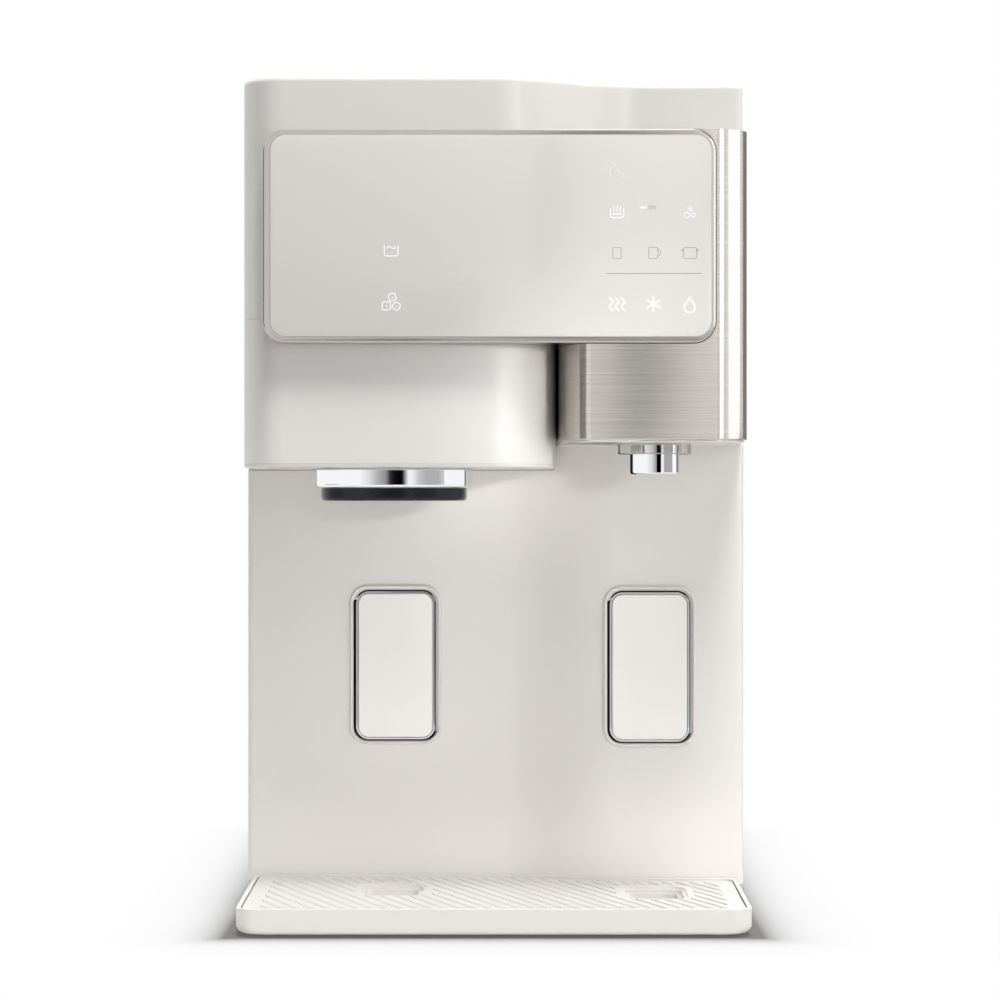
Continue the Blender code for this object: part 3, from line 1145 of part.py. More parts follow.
def build_ice_maker():
    low = BIN_TOP_Z + SEAT_GAP
    left = box(BIN_LEFT_X, BIN_LEFT_X + FRAME_WALL, FRAME_FRONT_Y, BIN_REAR_Y, low, FRAME_TOP_Z)
    right = box(BIN_RIGHT_X - FRAME_WALL, BIN_RIGHT_X, FRAME_FRONT_Y, BIN_REAR_Y, low, FRAME_TOP_Z)
    back = box(BIN_LEFT_X + FRAME_WALL / 2, BIN_RIGHT_X - FRAME_WALL / 2, BIN_REAR_Y - FRAME_WALL,
               BIN_REAR_Y, low, FRAME_TOP_Z)
    bore = rod((0, TRAY_PIVOT_Y, TRAY_PIVOT_Z), TRAY_PIN_RADIUS + AUGER_PLAY, BIN_LEFT_X - CUT_OVERRUN,
               BIN_RIGHT_X + CUT_OVERRUN, "X", ROUND_SEGMENTS)
    piece("ice_maker_frame", cut(fuse(left, right, back), bore), STAINLESS, (0, BIN_REAR_Y, low))

    inset, block_half = FRAME_WALL + SEAT_GAP, EVAPORATOR_DEPTH / 2
    block = box(BIN_LEFT_X + inset, BIN_RIGHT_X - inset, EVAPORATOR_Y - block_half, EVAPORATOR_Y + block_half,
                EVAPORATOR_Z, EVAPORATOR_Z + EVAPORATOR_HEIGHT)
    fingers = []
    tip_z = EVAPORATOR_Z - FINGER_LENGTH
    for index in range(FINGER_COUNT):
        x = ICE_X + (index - (FINGER_COUNT - 1) / 2) * FINGER_PITCH
        fingers.append(turned([
            (0, tip_z), (FINGER_RADIUS * TIP_SHARE, tip_z), (FINGER_RADIUS, tip_z + FINGER_RADIUS),
            (FINGER_RADIUS, EVAPORATOR_Z + EVAPORATOR_HEIGHT / 2), (0, EVAPORATOR_Z + EVAPORATOR_HEIGHT / 2)],
            (x, EVAPORATOR_Y, 0), "Z", SMALL_SEGMENTS))
    piece("evaporator", fuse(block, *fingers), ALUMINIUM, (ICE_X, EVAPORATOR_Y, EVAPORATOR_Z))

    axis = axis_empty("water_tray_pivot", (ICE_X, TRAY_PIVOT_Y, TRAY_PIVOT_Z))
    half, wall = WATER_TRAY_LENGTH / 2, WATER_TRAY_WALL
    tub = box(ICE_X - half, ICE_X + half, WATER_TRAY_FRONT_Y, WATER_TRAY_REAR_Y, WATER_TRAY_Z,
              WATER_TRAY_Z + WATER_TRAY_HEIGHT)
    room = box(ICE_X - half + wall, ICE_X + half - wall, WATER_TRAY_FRONT_Y + wall,
               WATER_TRAY_REAR_Y - wall, WATER_TRAY_Z + wall, WATER_TRAY_Z + WATER_TRAY_HEIGHT + CUT_OVERRUN)
    lugs = []
    for x_low in (ICE_X - half, ICE_X + half - wall):
        lugs.append(box(x_low, x_low + wall, WATER_TRAY_REAR_Y - wall / 2, TRAY_PIVOT_Y + TRAY_LUG_RADIUS,
                        TRAY_PIVOT_Z - TRAY_LUG_RADIUS, TRAY_PIVOT_Z + TRAY_LUG_RADIUS))
    pin = rod((0, TRAY_PIVOT_Y, TRAY_PIVOT_Z), TRAY_PIN_RADIUS, BIN_LEFT_X + SEAT_GAP,
              BIN_RIGHT_X - SEAT_GAP, "X", ROUND_SEGMENTS)
    piece("water_tray", fuse(cut(tub, room), *lugs, pin), PALE, parent=axis)
    side = BIN_RIGHT_X + SEAT_GAP
    reach = TRAY_MOTOR_WIDTH / 2
    motor = box(side, side + TRAY_MOTOR_LENGTH, TRAY_PIVOT_Y - reach, TRAY_PIVOT_Y + reach,
                TRAY_PIVOT_Z - reach, TRAY_PIVOT_Z + reach)
    piece("water_tray_motor", motor, DARK, (side, TRAY_PIVOT_Y, TRAY_PIVOT_Z))


# Cooling: compressor with its four mounts, condenser, and the fan in its shroud

COMPRESSOR_X = -72 * MM
COMPRESSOR_Y = 150 * MM
COMPRESSOR_RADIUS = 50 * MM
COMPRESSOR_HEIGHT = 118 * MM
COMPRESSOR_LEG = 4 * MM
MOUNT_HEIGHT = 10 * MM
MOUNT_RADIUS = 8 * MM
MOUNT_PLATE = 3 * MM
MOUNT_SPREAD = 88 * MM
CONDENSER_WIDTH = 108 * MM
CONDENSER_DEPTH = 22 * MM
CONDENSER_HEIGHT = 138 * MM
CONDENSER_GAP = 6 * MM
FIN_COUNT = 12
FIN_THICKNESS = 1.2 * MM
PIPE_RADIUS = 3.5 * MM
PIPE_ROWS = 3
FAN_RADIUS = 44 * MM
FAN_CLEARANCE = 3 * MM
FAN_DEPTH = 14 * MM
FAN_HUB_RADIUS = 15 * MM
FAN_BLADES = 5
FAN_BLADE_THICKNESS = 1.6 * MM
FAN_BLADE_PITCH_DEG = 32
FAN_SHAFT_RADIUS = 2.5 * MM
SHROUD_THICKNESS = 3 * MM
SHROUD_RIM = 16 * MM
FAN_MOTOR_RADIUS = 18 * MM
FAN_MOTOR_LENGTH = 32 * MM
FAN_POST_WIDTH = 14 * MM

FLOOR_Z = PAN_TOP_Z + SEAT_GAP
CONDENSER_REAR_Y = PAN_REAR_Y - PAN_WALL - CONDENSER_GAP
CONDENSER_FRONT_Y = CONDENSER_REAR_Y - CONDENSER_DEPTH
SHROUD_REAR_Y = CONDENSER_FRONT_Y - SEAT_GAP
SHROUD_FRONT_Y = SHROUD_REAR_Y - SHROUD_RIM


def build_compressor():
    lug_z = FLOOR_Z + MOUNT_HEIGHT
    base_z = lug_z + MOUNT_PLATE + COMPRESSOR_LEG
    top_z = base_z + COMPRESSOR_HEIGHT
    dome = COMPRESSOR_RADIUS / 2
    lower = [(r, base_z + dome - h) for r, h in arc(0, 0, COMPRESSOR_RADIUS, dome, 90, 0)]
    upper = [(r, top_z - dome + h) for r, h in arc(0, 0, COMPRESSOR_RADIUS, dome, 0, 90)]
    profile = [(max(r, 0) if r > SEAT_GAP else 0, h) for r, h in lower + upper]
    shell_mesh = turned(profile, (COMPRESSOR_X, COMPRESSOR_Y, 0), "Z", ROUND_SEGMENTS)
    half = MOUNT_SPREAD / 2
    plate = box(
        COMPRESSOR_X - half, COMPRESSOR_X + half, COMPRESSOR_Y - half, COMPRESSOR_Y + half,
        lug_z, lug_z + MOUNT_PLATE)
    pedestal = rod((COMPRESSOR_X, COMPRESSOR_Y, 0), dome, lug_z + MOUNT_PLATE / 2, base_z + dome)
    edge = half - MOUNT_RADIUS
    mounts = [
        rod((COMPRESSOR_X + sx * edge, COMPRESSOR_Y + sy * edge, 0), MOUNT_RADIUS, FLOOR_Z,
            lug_z + MOUNT_PLATE / 2)
        for sx in (-1, 1) for sy in (-1, 1)]
    body = fuse(shell_mesh, pedestal, plate, *mounts)
    piece("compressor", body, BLACK, (COMPRESSOR_X, COMPRESSOR_Y, lug_z))


def build_condenser():
    left = CONDENSER_X - CONDENSER_WIDTH / 2
    top_z = FLOOR_Z + CONDENSER_HEIGHT
    fins = []
    for index in range(FIN_COUNT):
        x = left + (CONDENSER_WIDTH - FIN_THICKNESS) * index / (FIN_COUNT - 1)
        fins.append(box(x, x + FIN_THICKNESS, CONDENSER_FRONT_Y, CONDENSER_REAR_Y, FLOOR_Z, top_z))
    pipes = []
    middle_y = (CONDENSER_FRONT_Y + CONDENSER_REAR_Y) / 2
    for row in range(PIPE_ROWS):
        z = FLOOR_Z + CONDENSER_HEIGHT * (row + 1 / 2) / PIPE_ROWS
        pipes.append(rod((0, middle_y, z), PIPE_RADIUS, left + FIN_THICKNESS / 2,
                         left + CONDENSER_WIDTH - FIN_THICKNESS / 2, "X", TINY_SEGMENTS))
    piece("condenser", fuse(together(*fins), *pipes), ALUMINIUM, (CONDENSER_X, middle_y, FLOOR_Z))


def build_fan():
    half = CONDENSER_WIDTH / 2
    top_z = FLOOR_Z + CONDENSER_HEIGHT
    hub_z = FLOOR_Z + CONDENSER_HEIGHT / 2
    plate = box(CONDENSER_X - half, CONDENSER_X + half, SHROUD_REAR_Y - SHROUD_THICKNESS, SHROUD_REAR_Y,
                FLOOR_Z, top_z)
    opening = FAN_RADIUS + FAN_CLEARANCE
    ring = rod((CONDENSER_X, 0, hub_z), opening + SHROUD_THICKNESS, SHROUD_FRONT_Y,
               SHROUD_REAR_Y - SHROUD_THICKNESS / 2, "Y", ROUND_SEGMENTS)
    hole = rod((CONDENSER_X, 0, hub_z), opening, SHROUD_FRONT_Y - CUT_OVERRUN, SHROUD_REAR_Y + CUT_OVERRUN,
               "Y", ROUND_SEGMENTS)
    piece("fan_shroud", cut(fuse(plate, ring), hole), DARK, (CONDENSER_X, SHROUD_REAR_Y, FLOOR_Z))

    rear = SHROUD_REAR_Y - RUN_GAP
    front = rear - FAN_DEPTH
    axis = axis_empty("fan_axis", (CONDENSER_X, front, hub_z))
    hub = rod((CONDENSER_X, 0, hub_z), FAN_HUB_RADIUS, front, rear, "Y", ROUND_SEGMENTS)
    blades = []
    for index in range(FAN_BLADES):
        blade = box(FAN_HUB_RADIUS / 2, FAN_RADIUS, -FAN_BLADE_THICKNESS / 2, FAN_BLADE_THICKNESS / 2,
                    -FAN_HUB_RADIUS * TIP_SHARE, FAN_HUB_RADIUS * TIP_SHARE)
        turn = Matrix.Rotation(2 * math.pi * index / FAN_BLADES, 4, "Y")
        pitch = Matrix.Rotation(math.radians(FAN_BLADE_PITCH_DEG), 4, "X")
        blade.transform(Matrix.Translation((CONDENSER_X, (front + rear) / 2, hub_z)) @ turn @ pitch)
        blades.append(blade)
    bore = rod((CONDENSER_X, 0, hub_z), FAN_SHAFT_RADIUS + AUGER_PLAY, front - CUT_OVERRUN,
               rear + CUT_OVERRUN, "Y")
    piece("fan_rotor", cut(fuse(hub, *blades), bore), DARK, parent=axis)

    motor_rear = front - RUN_GAP
    can = rod((CONDENSER_X, 0, hub_z), FAN_MOTOR_RADIUS, motor_rear - FAN_MOTOR_LENGTH, motor_rear, "Y",
              ROUND_SEGMENTS)
    shaft = rod((CONDENSER_X, 0, hub_z), FAN_SHAFT_RADIUS, motor_rear - FAN_MOTOR_LENGTH / 2, rear, "Y")
    post_half = FAN_POST_WIDTH / 2
    middle = motor_rear - FAN_MOTOR_LENGTH / 2
    post = box(CONDENSER_X - post_half, CONDENSER_X + post_half, middle - post_half, middle + post_half,
               FLOOR_Z, hub_z)
    piece("fan_motor", fuse(can, shaft, post), GALVANISED, (CONDENSER_X, motor_rear, hub_z))


# Water: filter under its head, tanks, pump, tubes and the fittings at the rear

FILTER_X = -68 * MM
FILTER_Y = -32 * MM
FILTER_RADIUS = 34 * MM
FILTER_BOTTOM_Z = 40 * MM
FILTER_NECK_RADIUS = 20 * MM
FILTER_NECK = 14 * MM
FILTER_HEAD_HEIGHT = 30 * MM
FILTER_HEAD_MARGIN = 5 * MM
TANK_FILLET = 12 * MM
COLD_TANK_RADIUS = 45 * MM
COLD_TANK_GAP = 71.2 * MM
HOT_TANK_RADIUS = 40 * MM
HOT_TANK_GAP = 84.2 * MM
TANK_WALL = 1.5 * MM
STUB_RADIUS = 4 * MM
STUB_HEIGHT = 10 * MM
HOSE_RADIUS = 3 * MM
HOSE_BEND = 14 * MM
HOSE_RISE = 58.5 * MM
HOT_HOSE_RADIUS = 2.6 * MM
PUMP_X = -8 * MM
PUMP_Y = 40 * MM
PUMP_RADIUS = 19 * MM
PUMP_LENGTH = 60 * MM
PUMP_BASE = 8 * MM

COLD_TANK_HEIGHT = MID_DECK_Z - COLD_TANK_GAP - FLOOR_Z
HOT_TANK_HEIGHT = MID_DECK_Z - HOT_TANK_GAP - FLOOR_Z
HOSE_RUN_Z = MID_DECK_TOP_Z + HOSE_RISE


def build_filter():
    head_top = MID_DECK_Z - SEAT_GAP
    head_low = head_top - FILTER_HEAD_HEIGHT
    reach = FILTER_RADIUS + FILTER_HEAD_MARGIN
    head = box(FILTER_X - reach, FILTER_X + reach, FILTER_Y - reach, FILTER_Y + reach, head_low, head_top)
    piece("filter_head", head, DARK, (FILTER_X, FILTER_Y, head_low))
    top = head_low - SEAT_GAP
    shoulder = top - FILTER_NECK
    cartridge = turned([
        (0, FILTER_BOTTOM_Z), (FILTER_RADIUS - TANK_FILLET / 2, FILTER_BOTTOM_Z),
        (FILTER_RADIUS, FILTER_BOTTOM_Z + TANK_FILLET / 2), (FILTER_RADIUS, shoulder - TANK_FILLET),
        (FILTER_NECK_RADIUS, shoulder), (FILTER_NECK_RADIUS, top), (0, top)], (FILTER_X, FILTER_Y, 0))
    piece("filter_cartridge", cartridge, PALE, (FILTER_X, FILTER_Y, FILTER_BOTTOM_Z))


def build_tanks():
    for name, y, radius, height, look in (
            ("cold_tank", COLD_TANK_Y, COLD_TANK_RADIUS, COLD_TANK_HEIGHT, STAINLESS),
            ("hot_tank", HOT_TANK_Y, HOT_TANK_RADIUS, HOT_TANK_HEIGHT, GALVANISED)):
        top = FLOOR_Z + height
        inner, wall = radius - TANK_WALL, TANK_WALL
        stub_top, half_fillet = top + STUB_HEIGHT, TANK_FILLET / 2
        outside = [
            (0, FLOOR_Z), (radius - half_fillet, FLOOR_Z), (radius, FLOOR_Z + half_fillet),
            (radius, top - TANK_FILLET), (radius - TANK_FILLET, top),
            (STUB_RADIUS, top), (STUB_RADIUS, stub_top)]
        inside = [
            (INLET_BORE_RADIUS, stub_top), (INLET_BORE_RADIUS, top - wall), (inner - TANK_FILLET, top - wall),
            (inner, top - TANK_FILLET), (inner, FLOOR_Z + half_fillet), (inner - half_fillet, FLOOR_Z + wall),
            (0, FLOOR_Z + wall)]
        tank = turned(outside + inside, (TANK_X, y, 0))
        piece(name, tank, look, (TANK_X, y, FLOOR_Z))


def bend(corner, before, after, radius):
    """A round bend at a corner, from unit directions along the route before and after it."""
    points = []
    for step in range(ARC_STEPS + 1):
        angle = math.pi / 2 * step / ARC_STEPS
        back = radius * (1 - math.sin(angle))
        ahead = radius * (1 - math.cos(angle))
        points.append(Vector(corner) - Vector(before) * back + Vector(after) * ahead)
    return points


def tube_mesh(route, radius):
    """A round tube along a route of points, with filled ends."""
    curve = bpy.data.curves.new("route", "CURVE")
    curve.dimensions = "3D"
    curve.bevel_depth = radius
    curve.bevel_resolution = 2
    curve.use_fill_caps = True
    spline = curve.splines.new("POLY")
    spline.points.add(len(route) - 1)
    for point, place in zip(spline.points, route):
        point.co = (*place, 1.0)
    thing = bpy.data.objects.new("route", curve)
    bpy.context.scene.collection.objects.link(thing)
    graph = bpy.context.evaluated_depsgraph_get()
    mesh = bpy.data.meshes.new_from_object(thing.evaluated_get(graph))
    bpy.data.objects.remove(thing)
    work = bmesh.new()
    work.from_mesh(mesh)
    return finished(work, weld=SEAT_GAP / 100)


def build_hose():
    """From the cold tank's stub through the deck and forward to the tap. The hot tank's hose joins it."""
    up, ahead, down = (0, 0, 1), (0, -1, 0), (0, 0, -1)
    start_z = FLOOR_Z + COLD_TANK_HEIGHT + STUB_HEIGHT + SEAT_GAP
    cold = [Vector((TANK_X, COLD_TANK_Y, start_z))]
    cold += bend((TANK_X, COLD_TANK_Y, HOSE_RUN_Z), up, ahead, HOSE_BEND)
    cold += bend((TANK_X, TAP_Y, HOSE_RUN_Z), ahead, down, HOSE_BEND)
    cold += [Vector((TANK_X, TAP_Y, SPIGOT_TOP_Z + SEAT_GAP))]
    start_z = FLOOR_Z + HOT_TANK_HEIGHT + STUB_HEIGHT + SEAT_GAP
    hot = [Vector((TANK_X, HOT_TANK_Y, start_z))]
    hot += bend((TANK_X, HOT_TANK_Y, HOSE_RUN_Z), up, ahead, HOSE_BEND)
    hot += [Vector((TANK_X, COLD_TANK_Y - 2 * HOSE_BEND, HOSE_RUN_Z))]
    hose = fuse(tube_mesh(cold, HOSE_RADIUS), tube_mesh(hot, HOT_HOSE_RADIUS))
    piece("water_hose", hose, CLEAR, (TANK_X, TAP_Y, SPIGOT_TOP_Z))


def build_pump():
    body = rod((PUMP_X, 0, FLOOR_Z + PUMP_BASE + PUMP_RADIUS), PUMP_RADIUS, PUMP_Y - PUMP_LENGTH / 2,
               PUMP_Y + PUMP_LENGTH / 2, "Y", ROUND_SEGMENTS)
    base = box(PUMP_X - PUMP_RADIUS, PUMP_X + PUMP_RADIUS, PUMP_Y - PUMP_LENGTH / 3, PUMP_Y + PUMP_LENGTH / 3,
               FLOOR_Z, FLOOR_Z + PUMP_BASE + PUMP_RADIUS / 2)
    piece("water_pump", fuse(body, base), DARK, (PUMP_X, PUMP_Y, FLOOR_Z))


FITTING_RADIUS = 6.5 * MM
FITTING_BORE_RADIUS = 3.2 * MM
FITTING_BLOCK_DEPTH = 16 * MM
FITTING_BLOCK_HEIGHT = 22 * MM


def build_fitting_block():
    """A block behind the rear cover, with the water inlet and the drain standing out through it."""
    rear = REAR_Y - COVER_WALL - SEAT_GAP
    margin = FITTING_BLOCK_HEIGHT / 2
    body = box(FITTING_XS[0] - margin, FITTING_XS[1] + margin, rear - FITTING_BLOCK_DEPTH, rear,
               FITTING_Z - margin, FITTING_Z + margin)
    end = REAR_Y + FITTING_REACH
    middle = rear - FITTING_BLOCK_DEPTH / 2
    stubs = [rod((x, 0, FITTING_Z), FITTING_RADIUS, middle, end, "Y", ROUND_SEGMENTS) for x in FITTING_XS]
    bores = [rod((x, 0, FITTING_Z), FITTING_BORE_RADIUS, middle, end + CUT_OVERRUN, "Y") for x in FITTING_XS]
    piece("water_fitting_block", cut(fuse(body, *stubs), *bores), NYLON, (FITTING_XS[0], REAR_Y, FITTING_Z))


# Electrics: main board, power inlet and power switch

MAIN_BOARD_Y = 20 * MM
MAIN_BOARD_DROP = 115.5 * MM
MAIN_BOARD_Z = OVERALL_HEIGHT - MAIN_BOARD_DROP
MAIN_BOARD_LENGTH = 140 * MM
MAIN_BOARD_HEIGHT = 110 * MM
STANDOFF_RADIUS = 3 * MM
STANDOFF_LENGTH = 8 * MM
CHIP_HEIGHT = 9 * MM
CHIP_SHARES = (
    (-0.32, 0.25, 0.22, 0.3), (0.05, 0.2, 0.14, 0.2), (0.3, -0.2, 0.2, 0.24), (-0.2, -0.28, 0.3, 0.12))
INLET_FLANGE = 2 * MM
INLET_FLANGE_MARGIN = 3 * MM
INLET_DEPTH = 24 * MM
INLET_RECESS_DEPTH = 17 * MM
INLET_WALL = 2.2 * MM
PIN_WIDTH = 4 * MM
PIN_THICKNESS = 2 * MM
PIN_SPACING = 14 * MM
SWITCH_DEPTH = 16 * MM
SWITCH_WALL = 1.6 * MM
SWITCH_FLANGE = 1.4 * MM
SWITCH_FLANGE_MARGIN = 1.6 * MM
ROCKER_TILT_DEG = 8
ROCKER_TIP = 2.5 * MM
ROCKER_PIN_RADIUS = 1 * MM
ROCKER_PLAY = 0.4 * MM
ROCKER_DEPTH = 5 * MM


def build_main_board():
    side = HALF_WIDTH - COVER_WALL - SEAT_GAP
    rear = side - STANDOFF_LENGTH
    front = rear - DISPLAY_BOARD_THICKNESS
    half_y, half_z = MAIN_BOARD_LENGTH / 2, MAIN_BOARD_HEIGHT / 2
    board = box(front, rear, MAIN_BOARD_Y - half_y, MAIN_BOARD_Y + half_y,
                MAIN_BOARD_Z - half_z, MAIN_BOARD_Z + half_z)
    seat = front + DISPLAY_BOARD_THICKNESS / 2
    parts = []
    for y_share, z_share, long_share, tall_share in CHIP_SHARES:
        y = MAIN_BOARD_Y + y_share * MAIN_BOARD_LENGTH
        z = MAIN_BOARD_Z + z_share * MAIN_BOARD_HEIGHT
        long, tall = long_share * MAIN_BOARD_LENGTH / 2, tall_share * MAIN_BOARD_HEIGHT / 2
        parts.append(box(front - CHIP_HEIGHT, seat, y - long, y + long, z - tall, z + tall))
    inset = 2 * STANDOFF_RADIUS
    for sy in (-1, 1):
        for sz in (-1, 1):
            corner = (0, MAIN_BOARD_Y + sy * (half_y - inset), MAIN_BOARD_Z + sz * (half_z - inset))
            parts.append(rod(corner, STANDOFF_RADIUS, rear - DISPLAY_BOARD_THICKNESS / 2, side, "X"))
    piece("main_board", fuse(board, *parts), BOARD, (rear, MAIN_BOARD_Y, MAIN_BOARD_Z))


def build_power_inlet():
    seat = REAR_Y + SEAT_GAP
    width, height = SOCKET_WIDTH - 2 * SEAT_GAP, SOCKET_HEIGHT - 2 * SEAT_GAP
    margin = 2 * INLET_FLANGE_MARGIN
    body = prism(centred_rect(SOCKET_X, SOCKET_Z, width, height, EDGE_RADIUS, 2), REAR_Y - INLET_DEPTH,
                 seat + INLET_FLANGE / 2, "Y")
    flange = prism(centred_rect(SOCKET_X, SOCKET_Z, width + margin, height + margin, INLET_FLANGE_MARGIN, 3),
                   seat, seat + INLET_FLANGE, "Y")
    wall = 2 * INLET_WALL
    recess = prism(centred_rect(SOCKET_X, SOCKET_Z, width - wall, height - wall, EDGE_RADIUS, 2),
                   seat + INLET_FLANGE - INLET_RECESS_DEPTH, seat + CUT_OVERRUN, "Y")
    pins = []
    root_y = REAR_Y - INLET_DEPTH + INLET_WALL
    for index in (-1, 0, 1):
        z = SOCKET_Z + index * PIN_SPACING
        pins.append(box(SOCKET_X - PIN_WIDTH / 2, SOCKET_X + PIN_WIDTH / 2, root_y, REAR_Y,
                        z - PIN_THICKNESS / 2, z + PIN_THICKNESS / 2))
    piece("power_inlet", fuse(cut(fuse(body, flange), recess), *pins), BLACK, (SOCKET_X, REAR_Y, SOCKET_Z))


def build_switch():
    """The power switch at the rear: a housing, and a rocker that rests tilted to its off side."""
    seat = REAR_Y + SEAT_GAP
    width, height = SWITCH_WIDTH - 2 * SEAT_GAP, SWITCH_HEIGHT - 2 * SEAT_GAP
    margin = 2 * SWITCH_FLANGE_MARGIN
    wall = 2 * SWITCH_WALL
    pin_y = REAR_Y - ROCKER_DEPTH / 2
    body = prism(centred_rect(SWITCH_X, SOCKET_Z, width, height, EDGE_RADIUS, 2), REAR_Y - SWITCH_DEPTH,
                 seat + SWITCH_FLANGE / 2, "Y")
    flange = prism(centred_rect(SWITCH_X, SOCKET_Z, width + margin, height + margin, EDGE_RADIUS, 2), seat,
                   seat + SWITCH_FLANGE, "Y")
    room = prism(centred_rect(SWITCH_X, SOCKET_Z, width - wall, height - wall, EDGE_RADIUS / 2, 1),
                 REAR_Y - SWITCH_DEPTH + SWITCH_WALL, seat + CUT_OVERRUN, "Y")
    half = width / 2 - SWITCH_WALL
    reach_x = half + SWITCH_WALL / 2
    bore = rod((SWITCH_X, pin_y, SOCKET_Z), ROCKER_PIN_RADIUS + LEVER_PIN_PLAY, -reach_x, reach_x, "X")
    piece("switch_housing", cut(fuse(body, flange), room, bore), BLACK, (SWITCH_X, REAR_Y, SOCKET_Z))

    axis = axis_empty("main_switch_axis", (SWITCH_X, pin_y, SOCKET_Z))
    reach = height / 2 - SWITCH_WALL - ROCKER_PLAY
    face_y = seat + SWITCH_FLANGE - pin_y
    tip_y = face_y + ROCKER_TIP
    outline = [(-ROCKER_DEPTH, -reach / 2), (tip_y, -reach + ROCKER_PLAY), (face_y, 0),
               (tip_y, reach - ROCKER_PLAY), (-ROCKER_DEPTH, reach / 2)]
    body_half = half - ROCKER_PLAY
    pins = rod((0, 0, 0), ROCKER_PIN_RADIUS, SEAT_GAP - reach_x, reach_x - SEAT_GAP, "X")
    rocker = fuse(prism(outline, -body_half, body_half, "X"), pins)
    tilt = Matrix.Rotation(-math.radians(ROCKER_TILT_DEG), 4, "X")
    rocker.transform(Matrix.Translation((SWITCH_X, pin_y, SOCKET_Z)) @ tilt)
    piece("main_switch", rocker, BLACK, parent=axis)


BUILDERS = (
    build_base, build_splash_wall, build_side_covers, build_rear_cover, build_deck_and_lid,
    build_hood, build_ice_housing, build_chute_ring_and_mouth, build_water_side, build_panel, build_levers,
    build_tray, build_mid_deck, build_bin, build_auger, build_chute_and_gate, build_ice_maker,
    build_compressor, build_condenser, build_fan, build_filter, build_tanks, build_hose, build_pump,
    build_fitting_block, build_main_board, build_power_inlet, build_switch,
)

for build in BUILDERS:
    build()
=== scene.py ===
# %% [markdown]
# # A countertop water dispenser with an ice maker
#
# The CAD model is the fixed frame: it says where each part is and how it moves. This notebook gives
# the parts their looks. Flat sheet parts and outer covers are built again with smooth curves and soft
# edges, inner parts keep their CAD mesh, and every part gets a procedural material.

# %% Load the frame
import math

import bmesh
import bpy
from mathutils import Matrix, Vector


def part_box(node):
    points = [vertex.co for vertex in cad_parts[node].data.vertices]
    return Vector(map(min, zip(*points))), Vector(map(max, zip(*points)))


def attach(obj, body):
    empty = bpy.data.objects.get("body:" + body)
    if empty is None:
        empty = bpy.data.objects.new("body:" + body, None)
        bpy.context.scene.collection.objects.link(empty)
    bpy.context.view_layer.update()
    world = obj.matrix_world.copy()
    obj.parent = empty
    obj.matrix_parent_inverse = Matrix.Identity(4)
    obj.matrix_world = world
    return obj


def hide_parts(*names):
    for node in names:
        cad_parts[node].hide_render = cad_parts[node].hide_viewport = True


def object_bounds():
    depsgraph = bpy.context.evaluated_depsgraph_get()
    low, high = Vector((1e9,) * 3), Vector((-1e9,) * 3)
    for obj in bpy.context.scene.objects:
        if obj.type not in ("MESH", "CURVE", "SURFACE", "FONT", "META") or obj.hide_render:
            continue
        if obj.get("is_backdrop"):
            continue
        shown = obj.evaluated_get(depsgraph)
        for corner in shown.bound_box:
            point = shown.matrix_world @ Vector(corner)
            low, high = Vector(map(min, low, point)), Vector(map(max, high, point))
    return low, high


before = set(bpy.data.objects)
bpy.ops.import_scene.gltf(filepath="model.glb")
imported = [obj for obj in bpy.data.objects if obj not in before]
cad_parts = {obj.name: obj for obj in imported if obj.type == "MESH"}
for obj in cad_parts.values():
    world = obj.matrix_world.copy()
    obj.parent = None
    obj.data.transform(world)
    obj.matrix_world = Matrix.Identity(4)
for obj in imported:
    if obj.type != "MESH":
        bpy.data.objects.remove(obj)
cad_low, cad_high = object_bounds()
MM = 0.001
PAST = 5 * MM  # how far a cutting tool runs past the face that it cuts
print("CAD box in mm:", [round(v / MM, 1) for v in cad_high - cad_low])

# %% [markdown]
# ## The camera
#
# The photograph looks straight at the front from about two metres, with a long lens. The picture's
# middle lies 243 mm above the counter, so the camera stands at that height and looks level. It could
# be placed by eye, but its place and lens were worked out from the tray's and the housing's widths.

# %% Camera
CAMERA_PLACE = (3.4 * MM, -1900 * MM, 243.3 * MM)
LENS_MM = 106.4
SENSOR_MM = 36

camera_data = bpy.data.cameras.new("photo_camera")
camera_data.lens = LENS_MM
camera_data.sensor_width = SENSOR_MM
camera_data.clip_end = 100
camera = bpy.data.objects.new("photo_camera", camera_data)
camera.location = CAMERA_PLACE
camera.rotation_euler = (math.radians(90), 0, 0)
bpy.context.scene.collection.objects.link(camera)
bpy.context.scene.camera = camera
print("camera at", [round(v, 3) for v in camera.location])

# %% [markdown]
# ## Outlines
#
# Every cover is a plan outline pushed upwards, or a front outline pushed backwards. A few functions
# draw arcs, an S-curve and rounded rectangles, and one draws an outline in by a wall's thickness. The
# steps are finer than in the CAD model, so that a long highlight runs smoothly round each corner.

# %% Functions for outlines
ARC_STEPS = 14
S_STEPS = 44
RIM_STEPS = 6
LEAST_RADIUS = 0.4 * MM


def arc(cu, cv, ru, rv, start, end, steps=ARC_STEPS):
    """Points of an elliptical arc between two angles in degrees, both ends included."""
    points = []
    for step in range(steps + 1):
        angle = math.radians(start + (end - start) * step / steps)
        points.append((cu + ru * math.cos(angle), cv + rv * math.sin(angle)))
    return points


def quarter_turn(steps=RIM_STEPS):
    """Sines and cosines of a quarter turn, from 0 to 90 degrees."""
    angles = [math.pi / 2 * step / steps for step in range(steps + 1)]
    return [(math.sin(angle), math.cos(angle)) for angle in angles]


def s_curve(start, end, steps=S_STEPS):
    """A soft step from one point to another, level at both ends."""
    points = []
    for step in range(steps + 1):
        share = step / steps
        rise = share * share * (3 - 2 * share)
        points.append((start[0] + (end[0] - start[0]) * share, start[1] + (end[1] - start[1]) * rise))
    return points


